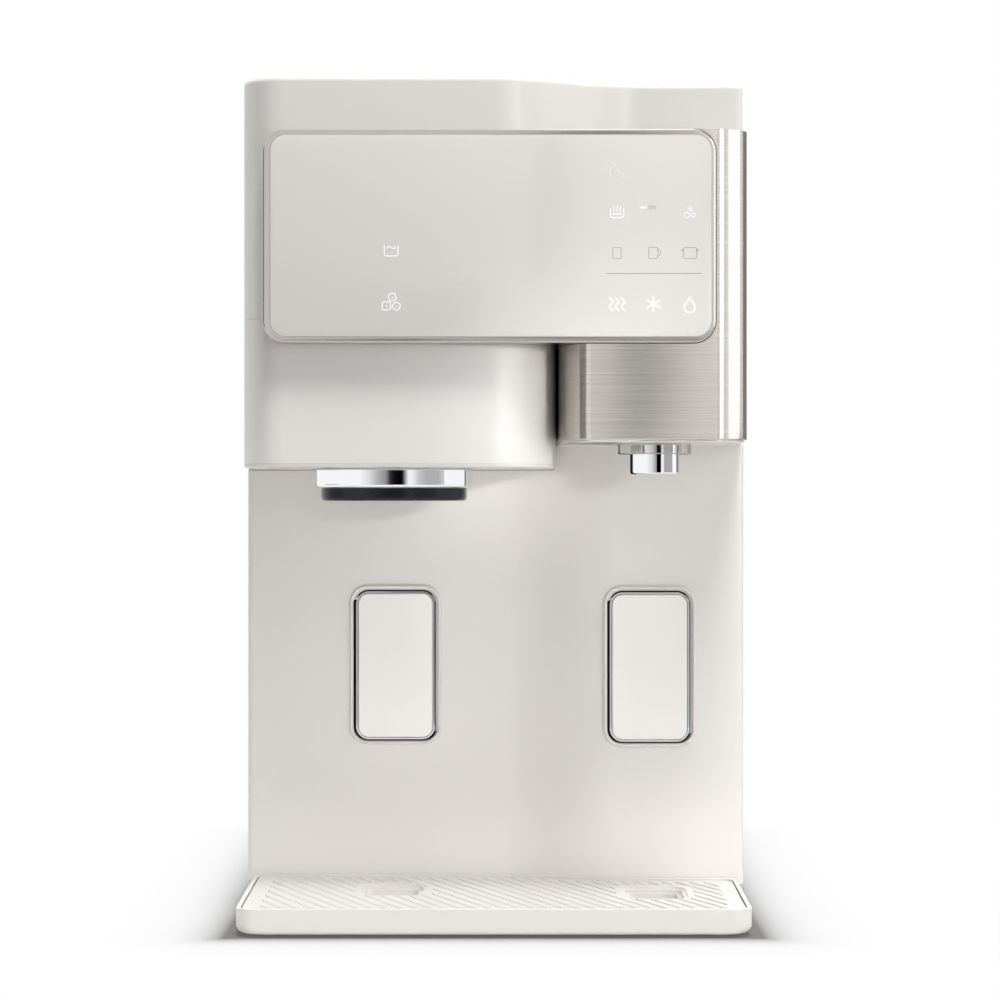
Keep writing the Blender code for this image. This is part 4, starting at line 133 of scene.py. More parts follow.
def rounded(u_low, u_high, v_low, v_high, radius, steps=ARC_STEPS):
    """A rounded rectangle, anticlockwise."""
    return (
        arc(u_low + radius, v_low + radius, radius, radius, 180, 270, steps)
        + arc(u_high - radius, v_low + radius, radius, radius, 270, 360, steps)
        + arc(u_high - radius, v_high - radius, radius, radius, 0, 90, steps)
        + arc(u_low + radius, v_high - radius, radius, radius, 90, 180, steps)
    )


def rounded_rect(u, v, width, height, radius, inset=0.0, steps=ARC_STEPS):
    """A rounded rectangle round its middle, drawn in if asked."""
    return rounded(u - width / 2 + inset, u + width / 2 - inset, v - height / 2 + inset,
                   v + height / 2 - inset, max(radius - inset, LEAST_RADIUS), steps)


def drawn_in(path, distance, closed=False):
    """The path moved to its left by the distance. That is inwards on an anticlockwise outline."""
    count = len(path)
    moved = []
    for i, (u, v) in enumerate(path):
        normals = []
        for a, b in ((i - 1, i), (i, i + 1)):
            if not closed and (a < 0 or b >= count):
                continue
            du, dv = path[b % count][0] - path[a][0], path[b % count][1] - path[a][1]
            size = math.hypot(du, dv)
            if size > 0:
                normals.append((-dv / size, du / size))
        nu, nv = sum(n[0] for n in normals), sum(n[1] for n in normals)
        size = math.hypot(nu, nv)
        nu, nv = nu / size, nv / size
        stretch = nu * normals[0][0] + nv * normals[0][1]
        moved.append((u + nu * distance / stretch, v + nv * distance / stretch))
    return moved


print("outline functions ready,", ARC_STEPS, "steps to a quarter turn")

# %% [markdown]
# ## Solids
#
# A loft joins outlines of equal point counts, which gives a moulded part its rounded rim. A Boolean
# then cuts windows and rooms. A Bevel modifier breaks each edge that is left sharp, because no real
# edge is a knife edge: the thin line of light along it is what makes a part look moulded or pressed.

# %% Functions for solids
def at(point, height, axis):
    u, v = point
    return {"X": (height, u, v), "Y": (u, height, v), "Z": (u, v, height)}[axis]


def closed_mesh(work):
    bmesh.ops.recalc_face_normals(work, faces=work.faces)
    if work.calc_volume(signed=True) < 0:
        bmesh.ops.reverse_faces(work, faces=work.faces)
    mesh = bpy.data.meshes.new("solid")
    work.to_mesh(mesh)
    work.free()
    return mesh


def bridge(work, low, high):
    """A band of faces between two rings of equal count."""
    for i in range(len(low)):
        j = (i + 1) % len(low)
        work.faces.new((low[i], low[j], high[j], high[i]))


def loft(outlines, heights, axis="Z"):
    """A solid through outlines, one for each height along the axis."""
    work = bmesh.new()
    rings = [[work.verts.new(at(p, h, axis)) for p in o] for o, h in zip(outlines, heights)]
    for low, high in zip(rings, rings[1:]):
        bridge(work, low, high)
    work.faces.new(rings[0][::-1])
    work.faces.new(rings[-1])
    return closed_mesh(work)


def prism(outline, low, high, axis="Z"):
    return loft([outline, outline], [low, high], axis)


def block(x_low, x_high, y_low, y_high, z_low, z_high):
    return prism([(x_low, y_low), (x_high, y_low), (x_high, y_high), (x_low, y_high)], z_low, z_high)


def lathe(profile, centre, segments=96, axis="Z"):
    """A solid turned from a closed profile of (radius, height) points. Points on the axis close it."""
    work = bmesh.new()
    rings = []
    for radius, height in profile:
        if radius == 0:
            rings.append([work.verts.new((0, 0, height))])
            continue
        ring = []
        for step in range(segments):
            angle = 2 * math.pi * step / segments
            ring.append(work.verts.new((radius * math.cos(angle), radius * math.sin(angle), height)))
        rings.append(ring)
    pairs = list(zip(rings, rings[1:]))
    if len(rings[0]) > 1:
        pairs.append((rings[-1], rings[0]))
    for low, high in pairs:
        for i in range(segments):
            j = (i + 1) % segments
            corners = [low[i % len(low)], low[j % len(low)], high[j % len(high)], high[i % len(high)]]
            corners = list(dict.fromkeys(corners))
            if len(corners) > 2:
                work.faces.new(corners)
    mesh = closed_mesh(work)
    turn = {"Z": (0, "X"), "Y": (-90, "X"), "X": (90, "Y")}[axis]
    mesh.transform(Matrix.Translation(Vector(centre)) @ Matrix.Rotation(math.radians(turn[0]), 4, turn[1]))
    return mesh


def rod(radius, low, high, centre, segments=96, axis="Z"):
    """A plain cylinder along an axis."""
    return lathe([(0, low), (radius, low), (radius, high), (0, high)], centre, segments, axis)


def joined(*meshes):
    """Several meshes as one, without a Boolean."""
    work = bmesh.new()
    for mesh in meshes:
        work.from_mesh(mesh)
    mesh = bpy.data.meshes.new("solid")
    work.to_mesh(mesh)
    work.free()
    return mesh


def boolean(mesh, tools, operation):
    scene = bpy.context.scene.collection
    target = bpy.data.objects.new("target", mesh)
    scene.objects.link(target)
    helpers = [target]
    for tool in tools:
        helper = bpy.data.objects.new("tool", tool)
        scene.objects.link(helper)
        modifier = target.modifiers.new("cut", "BOOLEAN")
        modifier.operation = operation
        modifier.solver = "EXACT"
        modifier.object = helper
        helpers.append(helper)
    graph = bpy.context.evaluated_depsgraph_get()
    result = bpy.data.meshes.new_from_object(target.evaluated_get(graph))
    for helper in helpers:
        bpy.data.objects.remove(helper)
    return result


def cut(mesh, *tools):
    return boolean(mesh, tools, "DIFFERENCE")


print("solid functions ready")

# %% [markdown]
# ## Placing a piece
#
# Each finished piece rides on its CAD body and stands for the CAD nodes that it replaces. Smooth
# shading is kept apart at edges over 35 degrees, and the Bevel modifier rounds those edges by a real
# radius: about half a millimetre on moulded plastic.

# %% A function that places a piece
EDGE_ANGLE = math.radians(35)


def piece(name, mesh, look, body="cabinet", nodes=(), edge=0.5 * MM, segments=3):
    made = bpy.data.objects.new(name, mesh)
    bpy.context.scene.collection.objects.link(made)
    mesh.materials.clear()
    mesh.materials.append(look)
    mesh.shade_smooth()
    mesh.set_sharp_from_angle(angle=EDGE_ANGLE)
    if edge:
        bevel = made.modifiers.new("soft_edges", "BEVEL")
        bevel.width = edge
        bevel.segments = segments
        bevel.limit_method = "ANGLE"
        bevel.angle_limit = EDGE_ANGLE
        bevel.harden_normals = True
        bevel.miter_outer = "MITER_ARC"
    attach(made, body)
    if nodes:
        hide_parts(*nodes)
    print(name, len(mesh.polygons), "faces, on", body)
    return made


# %% [markdown]
# ## Adding nodes, and colours
#
# Materials are node trees. One small function adds any node with its settings and links, and another
# turns an sRGB hex value into the linear colour that Blender works in. A few more stand for the nodes
# that most materials share: a blend of two colours, a range of values and simple sums.


def node(tree, kind, inputs=None, **settings):
    """Adds a node. An input given as a socket is linked, and any other is a value."""
    made = tree.nodes.new(kind)
    for name, value in settings.items():
        setattr(made, name, value)
    for key, value in (inputs or {}).items():
        if isinstance(value, bpy.types.NodeSocket):
            tree.links.new(value, made.inputs[key])
        else:
            made.inputs[key].default_value = value
    return made


def colour(hex_value):
    """An sRGB hex value as a linear colour with full alpha."""
    channels = [int(hex_value[i:i + 2], 16) / 255 for i in (1, 3, 5)]
    return (*[c / 12.92 if c <= 0.04045 else ((c + 0.055) / 1.055) ** 2.4 for c in channels], 1)


def blend(tree, factor, first, second):
    """A blend of two colours, each a hex value or a socket."""
    first, second = (colour(c) if isinstance(c, str) else c for c in (first, second))
    return node(tree, "ShaderNodeMix", {"Factor": factor, 6: first, 7: second}, data_type="RGBA").outputs[2]


def ranged(tree, value, low, high):
    """A value from 0 to 1, stretched over low to high."""
    return node(tree, "ShaderNodeMapRange", {"Value": value, "To Min": low, "To Max": high}).outputs[0]


def maths(tree, operation, *values):
    return node(tree, "ShaderNodeMath", dict(enumerate(values)), operation=operation).outputs[0]


def object_place(tree):
    return node(tree, "ShaderNodeTexCoord").outputs["Object"]


def noise(tree, place, size, detail=2.0, **inputs):
    """Noise whose patches are about the given size."""
    return node(tree, "ShaderNodeTexNoise", {
        "Vector": place, "Scale": 1 / size, "Detail": detail, **inputs}).outputs[0]


def bumped(tree, height, strength, depth):
    return node(tree, "ShaderNodeBump", {
        "Height": height, "Strength": strength, "Distance": depth}).outputs[0]


def drive(tree, shader, **sources):
    """Links sockets to the shader's inputs."""
    for key, source in sources.items():
        tree.links.new(source, shader.inputs[key.replace("_", " ")])


def blank_material(name, slot, **settings):
    """A material with its shader's constants set on the shader's own sockets."""
    made = bpy.data.materials.new(name)
    made.use_nodes = True
    tree = made.node_tree
    shader = tree.nodes["Principled BSDF"]
    for key, value in settings.items():
        shader.inputs[key.replace("_", " ")].default_value = value
    return made, tree, shader


print("material functions ready")

# %% [markdown]
# ## Moulded plastic
#
# The body is injection-moulded ABS in a warm white. A mould leaves a very fine orange-peel grain,
# about a third of a millimetre across and a few microns deep, and the gloss varies a little over a
# hand's width. Both come from noise on Object coordinates. The grain is drawn a little coarser than
# it is, because a real one is finer than a pixel of the picture.

# %% Moulded plastic finishes
def moulded_plastic(name, slot, base, shade, roughness, grain_mm=0.9, grain_depth=0.004, patch_mm=60,
                    **settings):
    made, tree, shader = blank_material(name, slot, IOR=1.53, **settings)
    place = object_place(tree)
    patch = noise(tree, place, patch_mm * MM)
    grain = noise(tree, place, grain_mm * MM, 3.0)
    drive(tree, shader, Base_Color=blend(tree, patch, base, shade),
          Roughness=ranged(tree, patch, roughness - 0.03, roughness + 0.03),
          Normal=bumped(tree, grain, 0.35, grain_depth * MM * 10))
    return made


WHITE_ABS = moulded_plastic(
    "moulded_abs_warm_white", "warm_white_abs", "#E0DDD9", "#DDDAD5", 0.30, Coat_Weight=0.25)
SPLASH_ABS = moulded_plastic("moulded_abs_splash_wall", "splash_wall_abs", "#E0DCD8", "#DCD8D4", 0.34)
LEVER_ABS = moulded_plastic("polished_abs_lever", "lever_abs", "#F3F1EC", "#F0EDE8", 0.22, Coat_Weight=0.5)
INNER_PLASTIC = moulded_plastic("moulded_abs_inner_pale", "pale_inner_plastic", "#D9DEE0", "#CFD5D8", 0.42)
DARK_ABS = moulded_plastic("moulded_abs_dark_grey", "dark_grey_abs", "#3A3B3E", "#303134", 0.50, 1.4, 0.008)
BLACK_ABS = moulded_plastic(
    "polished_abs_black", "black_abs", "#14191D", "#101418", 0.10, Specular_IOR_Level=0.3)
BLUE_NYLON = moulded_plastic("moulded_nylon_blue", "blue_nylon", "#3A63A8", "#345A9C", 0.42)

# %% [markdown]
# ## Metals
#
# The right-hand cover is stainless sheet, brushed from side to side with a fine belt. The belt leaves
# scratches under 0.1 mm apart, drawn here about 0.5 mm apart so that they show: noise that is short
# across the brushing and 180 times longer along it. Scratches also stretch each highlight across the
# brushing, here upwards, which the shader's anisotropy does with an upright tangent. The tap and the
# chute's ring are chrome on plastic, smooth enough to mirror the studio in broad bands.

# %% Brushed and plated metals
def brushed_metal(name, slot, base, shade, roughness, streak_mm=0.5, along_mm=90, stretch=0.0):
    made, tree, shader = blank_material(name, slot, Metallic=1.0, Anisotropic=stretch)
    if stretch:
        drive(tree, shader, Tangent=node(tree, "ShaderNodeCombineXYZ", {"Z": 1.0}).outputs[0])
    long, short = 1 / (along_mm * MM), 1 / (streak_mm * MM)
    drawn = node(tree, "ShaderNodeMapping", {"Vector": object_place(tree), "Scale": (long, long, short)})
    streak = noise(tree, drawn.outputs[0], 1.0, 4.0, Roughness=0.65)
    drive(tree, shader, Base_Color=blend(tree, streak, shade, base),
          Roughness=ranged(tree, streak, roughness - 0.06, roughness + 0.06),
          Normal=bumped(tree, streak, 0.25, 0.03 * MM))
    return made


def plain_metal(name, slot, base, shade, roughness, patch_mm=25, spread=0.04):
    made, tree, shader = blank_material(name, slot, Metallic=1.0)
    patch = noise(tree, object_place(tree), patch_mm * MM, 5.0)
    drive(tree, shader, Base_Color=blend(tree, patch, base, shade),
          Roughness=ranged(tree, patch, max(roughness - spread, 0.02), roughness + spread))
    return made


def galvanised_sheet(name, slot, base, shade, spangle_mm):
    """Zinc-coated sheet: flat crystals, each a slightly different grey."""
    made, tree, shader = blank_material(name, slot, Metallic=1.0)
    crystal = node(tree, "ShaderNodeTexVoronoi", {
        "Vector": object_place(tree), "Scale": 1 / (spangle_mm * MM)}).outputs["Color"]
    drive(tree, shader, Base_Color=blend(tree, crystal, base, shade),
          Roughness=ranged(tree, crystal, 0.38, 0.52))
    return made


BRUSHED_STEEL = brushed_metal(
    "brushed_stainless_cover", "brushed_steel", "#E6E1DA", "#BAB4AD", 0.24, stretch=0.95)
TRIM_METAL = plain_metal("anodised_aluminium_trim", "champagne_trim", "#C2BDBA", "#B9B4B0", 0.16, 60, 0.02)
CHROME = plain_metal("chrome_plated_abs", "chrome", "#F6F7F9", "#F2F3F5", 0.03, 40, 0.008)
STAINLESS = brushed_metal("brushed_stainless_inner", "stainless_steel", "#C4C4C6", "#AEAEB1", 0.28)
GALVANISED = galvanised_sheet("galvanised_steel_sheet", "galvanised_steel", "#BDC0C2", "#A4A8AB", 9)
ALUMINIUM = plain_metal("mill_finish_aluminium", "aluminium", "#C9CCD0", "#B9BCC1", 0.34)
print("metals ready")

# %% [markdown]
# ## Glass, rubber, enamel and the circuit boards
#
# The panel is glass painted on its back, so the colour sits under a clear, flat gloss: a coat over a
# plain base. The collar round the tap is clear acrylic and really lets light through. The
# compressor's enamel, the feet's rubber and the boards are only seen from behind or inside.

# %% Other finishes
PANEL_GLASS, tree, shader = blank_material(
    "glass_painted_on_its_back", "back_painted_glass", Roughness=0.22, Coat_Weight=1.0, Coat_Roughness=0.02,
    Specular_IOR_Level=0.3)
cloud = noise(tree, object_place(tree), 150 * MM, 1.0)
drive(tree, shader, Base_Color=blend(tree, cloud, "#DCD9D3", "#D8D5CF"))

CLEAR_ACRYLIC, tree, shader = blank_material(
    "acrylic_moulded_clear", "clear_acrylic", Roughness=0.03, IOR=1.49, Transmission_Weight=1.0)
haze = noise(tree, object_place(tree), 12 * MM)
drive(tree, shader, Base_Color=blend(tree, haze, "#F4F4F2", "#ECECE9"))

RUBBER = moulded_plastic("moulded_rubber", "rubber", "#1E1E1F", "#19191A", 0.75, 1.6, 0.02)
ENAMEL = moulded_plastic(
    "baked_enamel_black", "black_enamel", "#17181A", "#101113", 0.28, 3.0, 0.01, Coat_Weight=0.4)


def circuit_board(name, slot):
    """Green solder mask: paler tracks along the borders of a pattern of cells."""
    made, tree, shader = blank_material(name, slot, Roughness=0.4, IOR=1.5)
    track = node(tree, "ShaderNodeTexVoronoi", {
        "Vector": object_place(tree), "Scale": 1 / (6 * MM)},
        distance="MANHATTAN", feature="DISTANCE_TO_EDGE")
    line = node(tree, "ShaderNodeMapRange", {"Value": track.outputs["Distance"], "From Max": 0.06})
    drive(tree, shader, Base_Color=blend(tree, line.outputs[0], "#3E8A5C", "#1F5A3A"))
    return made


BOARD = circuit_board("fibreglass_circuit_board", "circuit_board")

SCREEN_PRINT = moulded_plastic("screen_print_white", "back_painted_glass", "#FFFFFF", "#FBFBFA", 0.35)
SCREEN_PRINT_GREY = moulded_plastic("screen_print_grey", "back_painted_glass", "#9C9790", "#98938C", 0.4)
SCREEN_PRINT_PALE = moulded_plastic("screen_print_pale", "back_painted_glass", "#ECECE8", "#E8E9E4", 0.35)

# %% [markdown]
# ## The hood
#
# The hood is one warm-white moulding over the whole upper front. In plan it narrows a little towards
# the front, turns a big left corner and then steps back to the right in a long S-curve, where the
# light makes two bright bands. The outline is lofted upwards, and its last levels are drawn in along
# a quarter circle for the rounded top rim. The bay for the metal cover is cut from it.

# %% Plan outlines of the housing
SEAT_GAP = 0.3 * MM
FINE_GAP = 0.12 * MM
WALL = 2.5 * MM
HALF_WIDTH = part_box("hood")[1].x
SEAM_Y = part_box("hood")[1].y
HOUSING_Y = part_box("ice_housing")[0].y
HOUSING_HALF = 142.4 * MM
CORNER_RADIUS = 25 * MM
HOOD_STEP = 33.6 * MM
HOOD_STEP_END_X = 85 * MM
HOOD_RIGHT_RADIUS = 4 * MM
ICE_END_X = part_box("ice_housing")[1].x
ICE_CORNER = (42 * MM, 70 * MM)
ICE_CORNER_POWER = 2.4
ICE_CORNER_STEPS = 48


def left_corner():
    radius = CORNER_RADIUS
    return [(-HALF_WIDTH, SEAM_Y)] + arc(
        -HOUSING_HALF + radius, HOUSING_Y + radius, radius, radius, 180, 270, 24)


def hood_plan():
    step_y = HOUSING_Y + HOOD_STEP
    radius = HOOD_RIGHT_RADIUS
    return (left_corner() + s_curve((0, HOUSING_Y), (HOOD_STEP_END_X, step_y))
            + arc(HOUSING_HALF - radius, step_y + radius, radius, radius, 270, 360, 8)
            + [(HALF_WIDTH, SEAM_Y)])


def ice_plan():
    width, depth = ICE_CORNER
    corner_points = []
    for sine, cosine in quarter_turn(ICE_CORNER_STEPS):
        u, v = sine ** (2 / ICE_CORNER_POWER), cosine ** (2 / ICE_CORNER_POWER)
        corner_points.append((ICE_END_X - width + width * u, HOUSING_Y + depth - depth * v))
    return left_corner() + corner_points + [(ICE_END_X, SEAM_Y)]


def region(path, inset=0.0, rear=None):
    """The area behind a plan path, drawn in, with straight ends to the rear line."""
    moved = drawn_in(path, inset)
    rear = path[0][1] if rear is None else rear
    first, last = moved[0], moved[-1]
    return [(first[0], rear)] + moved[1:-1] + [(last[0], rear)]


# %% Hood
HOOD_RIM = 3 * MM
RIM_GUARD = 0.2 * MM


def rim_levels(low, high, radius, outline, lower=0.0):
    """Heights and outlines of a wall from low to high whose rim is rounded, and its foot too if asked.
    A ring of points beside each rounding keeps the wall's shading flat."""
    levels = []
    if lower:
        levels = [(low + lower * (1 - cosine), lower * (1 - sine)) for sine, cosine in quarter_turn()[:-1]]
    levels.append((low + lower, 0.0))
    if high - radius - low - lower > 4 * RIM_GUARD:
        levels += [(low + lower + RIM_GUARD, 0.0), (high - radius - RIM_GUARD, 0.0)]
    if radius:
        levels += [(high - radius * (1 - sine), radius * (1 - cosine)) for sine, cosine in quarter_turn()]
    else:
        levels.append((high, 0.0))
    return [outline(inset) for _, inset in levels], [height for height, _ in levels]


hood_low, hood_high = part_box("hood")
metal_low, metal_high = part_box("metal_cover")
rear_clear = SEAM_Y + 10 * MM
hood_body = loft(*rim_levels(hood_low.z, hood_high.z, HOOD_RIM, lambda inset: region(hood_plan(), inset)))
hood_room = prism(region(hood_plan(), WALL, rear_clear), hood_low.z - MM, hood_high.z - WALL)
metal_bay = block(metal_low.x - SEAT_GAP, HALF_WIDTH + PAST, -0.3, rear_clear, hood_low.z - MM,
                  metal_high.z + FINE_GAP)
piece("hood_shell", cut(hood_body, hood_room, metal_bay), WHITE_ABS, nodes=["hood"], edge=0.22 * MM)

# %% [markdown]
# ## The ice housing and its base
#
# Under the hood's left half hangs the ice housing, with the same left corner and a long rounded right
# end. A thin base plate closes it below, with the chute's hole. Their seam shows in the photograph as
# a fine line with a lighter strip of plate under it, so the plate stays a piece of its own.

# %% Ice housing
SEAM_CLOSE = 0.2 * MM
ice_low, ice_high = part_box("ice_housing")
base_low, base_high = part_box("ice_housing_base")
chute_low, chute_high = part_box("ice_chute_ring")
chute_x, chute_y = (chute_low.x + chute_high.x) / 2, (chute_low.y + chute_high.y) / 2
ice_body = prism(region(ice_plan()), ice_low.z - SEAM_CLOSE, ice_high.z + SEAM_CLOSE)
ice_room = prism(region(ice_plan(), WALL, rear_clear), ice_low.z - MM, ice_high.z + MM)
piece("ice_housing_shell", cut(ice_body, ice_room), WHITE_ABS, nodes=["ice_housing"], edge=0.22 * MM)

CHUTE_HOLE = (62 * MM, 46 * MM)
chute_hole = prism(rounded_rect(chute_x, chute_y, *CHUTE_HOLE, 1.5 * MM, steps=6), base_low.z - MM,
                   base_high.z + MM)
base_body = loft(*rim_levels(base_low.z, base_high.z, 0, lambda inset: region(ice_plan(), inset), 1.2 * MM))
piece("ice_housing_plate", cut(base_body, chute_hole), WHITE_ABS, nodes=["ice_housing_base"], edge=0.25 * MM)

# %% [markdown]
# ## The metal cover and the tap's base
#
# The right half is a brushed stainless cover, 1.5 mm thick, folded round a narrow left end and a
# rounded right corner. Its lower edge is rolled, which shows as a bright line above the recessed
# plastic plate that carries the tap.

# %% Metal cover
METAL_WALL = 1.5 * MM
METAL_LEFT = (18 * MM, 47 * MM)
METAL_RIGHT_RADIUS = 20 * MM
METAL_FRONT_HALF = 142.8 * MM
METAL_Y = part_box("metal_cover")[0].y


def metal_plan():
    width, depth = METAL_LEFT
    radius = METAL_RIGHT_RADIUS
    return ([(metal_low.x, SEAM_Y)]
            + arc(metal_low.x + width, METAL_Y + depth, width, depth, 180, 270, 36)
            + arc(METAL_FRONT_HALF - radius, METAL_Y + radius, radius, radius, 270, 360, 24)
            + [(HALF_WIDTH, SEAM_Y)])


panel_low, panel_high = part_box("panel_frame")
PANEL_RADIUS = 12.5 * MM


def panel_outline(inset=0.0):
    return rounded(panel_low.x + inset, panel_high.x - inset, panel_low.z + inset, panel_high.z - inset,
                   PANEL_RADIUS - inset)


metal_body = loft(*rim_levels(
    metal_low.z, metal_high.z, 0, lambda inset: region(metal_plan(), inset), 0.9 * MM))
metal_room = prism(region(metal_plan(), METAL_WALL, rear_clear), metal_low.z - MM, metal_high.z - METAL_WALL)
metal_window = prism(panel_outline(-SEAT_GAP), METAL_Y - PAST, panel_high.y + SEAT_GAP, "Y")
piece("metal_cover_sheet", cut(metal_body, metal_room, metal_window), BRUSHED_STEEL, nodes=["metal_cover"],
      edge=0.4 * MM)

# %% Tap's base plate
tap_base_low, tap_base_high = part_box("tap_housing_base")
tap_low, tap_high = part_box("tap_nozzle")
tap_x, tap_y = (tap_low.x + tap_high.x) / 2, (tap_low.y + tap_high.y) / 2
tap_radius = (tap_high.x - tap_low.x) / 2
SPIGOT_RADIUS = 10 * MM
PLATE_DROP = 1.5 * MM
spigot_hole = rod(SPIGOT_RADIUS + SEAT_GAP, -PAST, PAST, (tap_x, tap_y, tap_base_low.z))
tap_base = prism(region(metal_plan(), METAL_WALL + SEAT_GAP), tap_base_low.z - PLATE_DROP, tap_base_high.z)
piece("tap_base_plate", cut(tap_base, spigot_hole), WHITE_ABS, nodes=["tap_housing_base"], edge=0.3 * MM)

# %% [markdown]
# ## Tap nozzle and collar
#
# The tap is a short chrome cylinder in a clear acrylic collar. Both are turned shapes, so each is one
# profile spun round the tap's axis, with its rims rounded in the profile itself.

# %% Tap nozzle and collar
NOZZLE_BORE = 7 * MM
INLET_BORE = 1.8 * MM
NOZZLE_RIM = 1.2 * MM
NOZZLE_CHAMFER = 0.4 * MM
COLLAR_WALL = 1.1 * MM
COLLAR_RIM = 0.5 * MM
COLLAR_CHAMFER = 0.1 * MM
TURNED_SEGMENTS = 128


def corner(r, h, radius, start, end, steps=5):
    """A rounded corner of a turned profile, round the centre (r, h)."""
    return arc(r, h, radius, radius, start, end, steps)


def turned_foot(radius, foot, rim):
    """The rounded foot of a turned profile, and the start of its upright side."""
    return corner(radius - rim, foot + rim, rim, 270, 360) + [(radius, foot + rim + RIM_GUARD)]


shoulder = tap_base_low.z - PLATE_DROP - FINE_GAP
nozzle_profile = (
    [(NOZZLE_BORE + NOZZLE_CHAMFER, tap_low.z)] + turned_foot(tap_radius, tap_low.z, NOZZLE_RIM)
    + [(tap_radius, shoulder), (SPIGOT_RADIUS, shoulder), (SPIGOT_RADIUS, tap_high.z),
       (INLET_BORE, tap_high.z), (INLET_BORE, tap_base_high.z), (NOZZLE_BORE, tap_base_high.z),
       (NOZZLE_BORE, tap_low.z + NOZZLE_CHAMFER)])
piece("tap_nozzle_chrome", lathe(nozzle_profile, (tap_x, tap_y, 0), TURNED_SEGMENTS), CHROME,
      nodes=["tap_nozzle"], edge=0.2 * MM)

collar_low, collar_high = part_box("nozzle_collar")
collar_radius = (collar_high.x - collar_low.x) / 2
collar_bore = collar_radius - COLLAR_WALL
collar_profile = turned_foot(collar_radius, collar_low.z, COLLAR_RIM) + [
    (collar_radius, collar_high.z), (collar_bore, collar_high.z),
    (collar_bore, collar_low.z + COLLAR_CHAMFER), (collar_bore + COLLAR_CHAMFER, collar_low.z)]
piece("tap_collar_clear", lathe(collar_profile, (tap_x, tap_y, 0), TURNED_SEGMENTS), CLEAR_ACRYLIC,
      nodes=["nozzle_collar"], edge=0.15 * MM)

# %% [markdown]
# ## Chute ring and mouth
#
# Ice falls through a chrome ring with a glossy black mouth below it. Both are squared ovals, which a
# superellipse draws with one formula: the power 3.2 lies between an ellipse at 2 and a box.

# %% Chute ring and mouth
RING_POWER = 3.2
RING_RIM = 1.5 * MM
MOUTH_WALL = 4 * MM
mouth_low, mouth_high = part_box("ice_chute_mouth")


def oval(width, depth, inset=0.0, steps=160):
    points = []
    for step in range(steps):
        angle = 2 * math.pi * step / steps
        c, s = math.cos(angle), math.sin(angle)
        grow = (abs(c) ** RING_POWER + abs(s) ** RING_POWER) ** (-1 / RING_POWER)
        points.append((chute_x + (width / 2 - inset) * c * grow, chute_y + (depth / 2 - inset) * s * grow))
    return points


ring_width, ring_depth = chute_high.x - chute_low.x, chute_high.y - chute_low.y
mouth_width, mouth_depth = mouth_high.x - mouth_low.x, mouth_high.y - mouth_low.y
ring_body = loft(*rim_levels(
    chute_low.z, chute_high.z, 0.6 * MM, lambda inset: oval(ring_width, ring_depth, inset), RING_RIM))
bore = prism(oval(mouth_width, mouth_depth, MOUTH_WALL), mouth_low.z - PAST, chute_high.z + PAST)
piece("chute_ring_chrome", cut(ring_body, bore.copy()), CHROME, nodes=["ice_chute_ring"], edge=0.3 * MM)
mouth_body = loft(*rim_levels(
    mouth_low.z, mouth_high.z, 0.3 * MM, lambda inset: oval(mouth_width, mouth_depth, inset), 2.0 * MM))
piece("chute_mouth_black", cut(mouth_body, bore), BLACK_ABS, nodes=["ice_chute_mouth"], edge=0.4 * MM)

# %% [markdown]
# ## Control panel
#
# The panel is a sheet of back-painted glass in a rounded aluminium trim. The trim's front rim is a
# quarter round, so it shows as a bright line with a dark one on each side. A narrow polished edge
# round the glass gives the faint pale border inside it.

# %% Panel trim and glass
glass_low, glass_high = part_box("panel_glass")
GLASS_RADIUS = 9 * MM
TRIM_RIM = 1.3 * MM
GLASS_EDGE = 0.5 * MM


def glass_outline(inset=0.0):
    return rounded(glass_low.x + inset, glass_high.x - inset, glass_low.z + inset, glass_high.z - inset,
                   GLASS_RADIUS - inset)


trim_levels = [(panel_low.y + TRIM_RIM * (1 - cosine), TRIM_RIM * (1 - sine))
               for sine, cosine in quarter_turn()]
trim_levels.append((panel_high.y, 0.0))
trim_body = loft([panel_outline(inset) for _, inset in trim_levels], [y for y, _ in trim_levels], "Y")
pocket = prism(glass_outline(-FINE_GAP), panel_low.y - PAST, glass_high.y + SEAT_GAP, "Y")
hood_space = prism(region(hood_plan(), -FINE_GAP, rear_clear), hood_low.z - FINE_GAP, hood_high.z)
ice_space = prism(region(ice_plan(), -SEAT_GAP, rear_clear), base_low.z, hood_low.z)
piece("panel_trim", cut(trim_body, pocket, hood_space, ice_space), TRIM_METAL, nodes=["panel_frame"],
      edge=0.25 * MM)

glass_body = loft(
    [glass_outline(GLASS_EDGE), glass_outline(GLASS_EDGE * 0.3), glass_outline(), glass_outline()],
    [glass_low.y, glass_low.y + GLASS_EDGE * 0.25, glass_low.y + GLASS_EDGE, glass_high.y], "Y")
piece("panel_glass_sheet", glass_body, PANEL_GLASS, nodes=["panel_glass"], edge=0.0)

# %% [markdown]
# ## Splash wall
#
# The wall behind the two cup bays is one moulding that steps forward to the right in an S-curve. Each
# lever looks out of a window with a soft raised lip: a half-round section swept round the window's
# outline. A rim runs back from the lip, and a narrow ledge inside it closes the gap above the lever's
# frame and at its right.

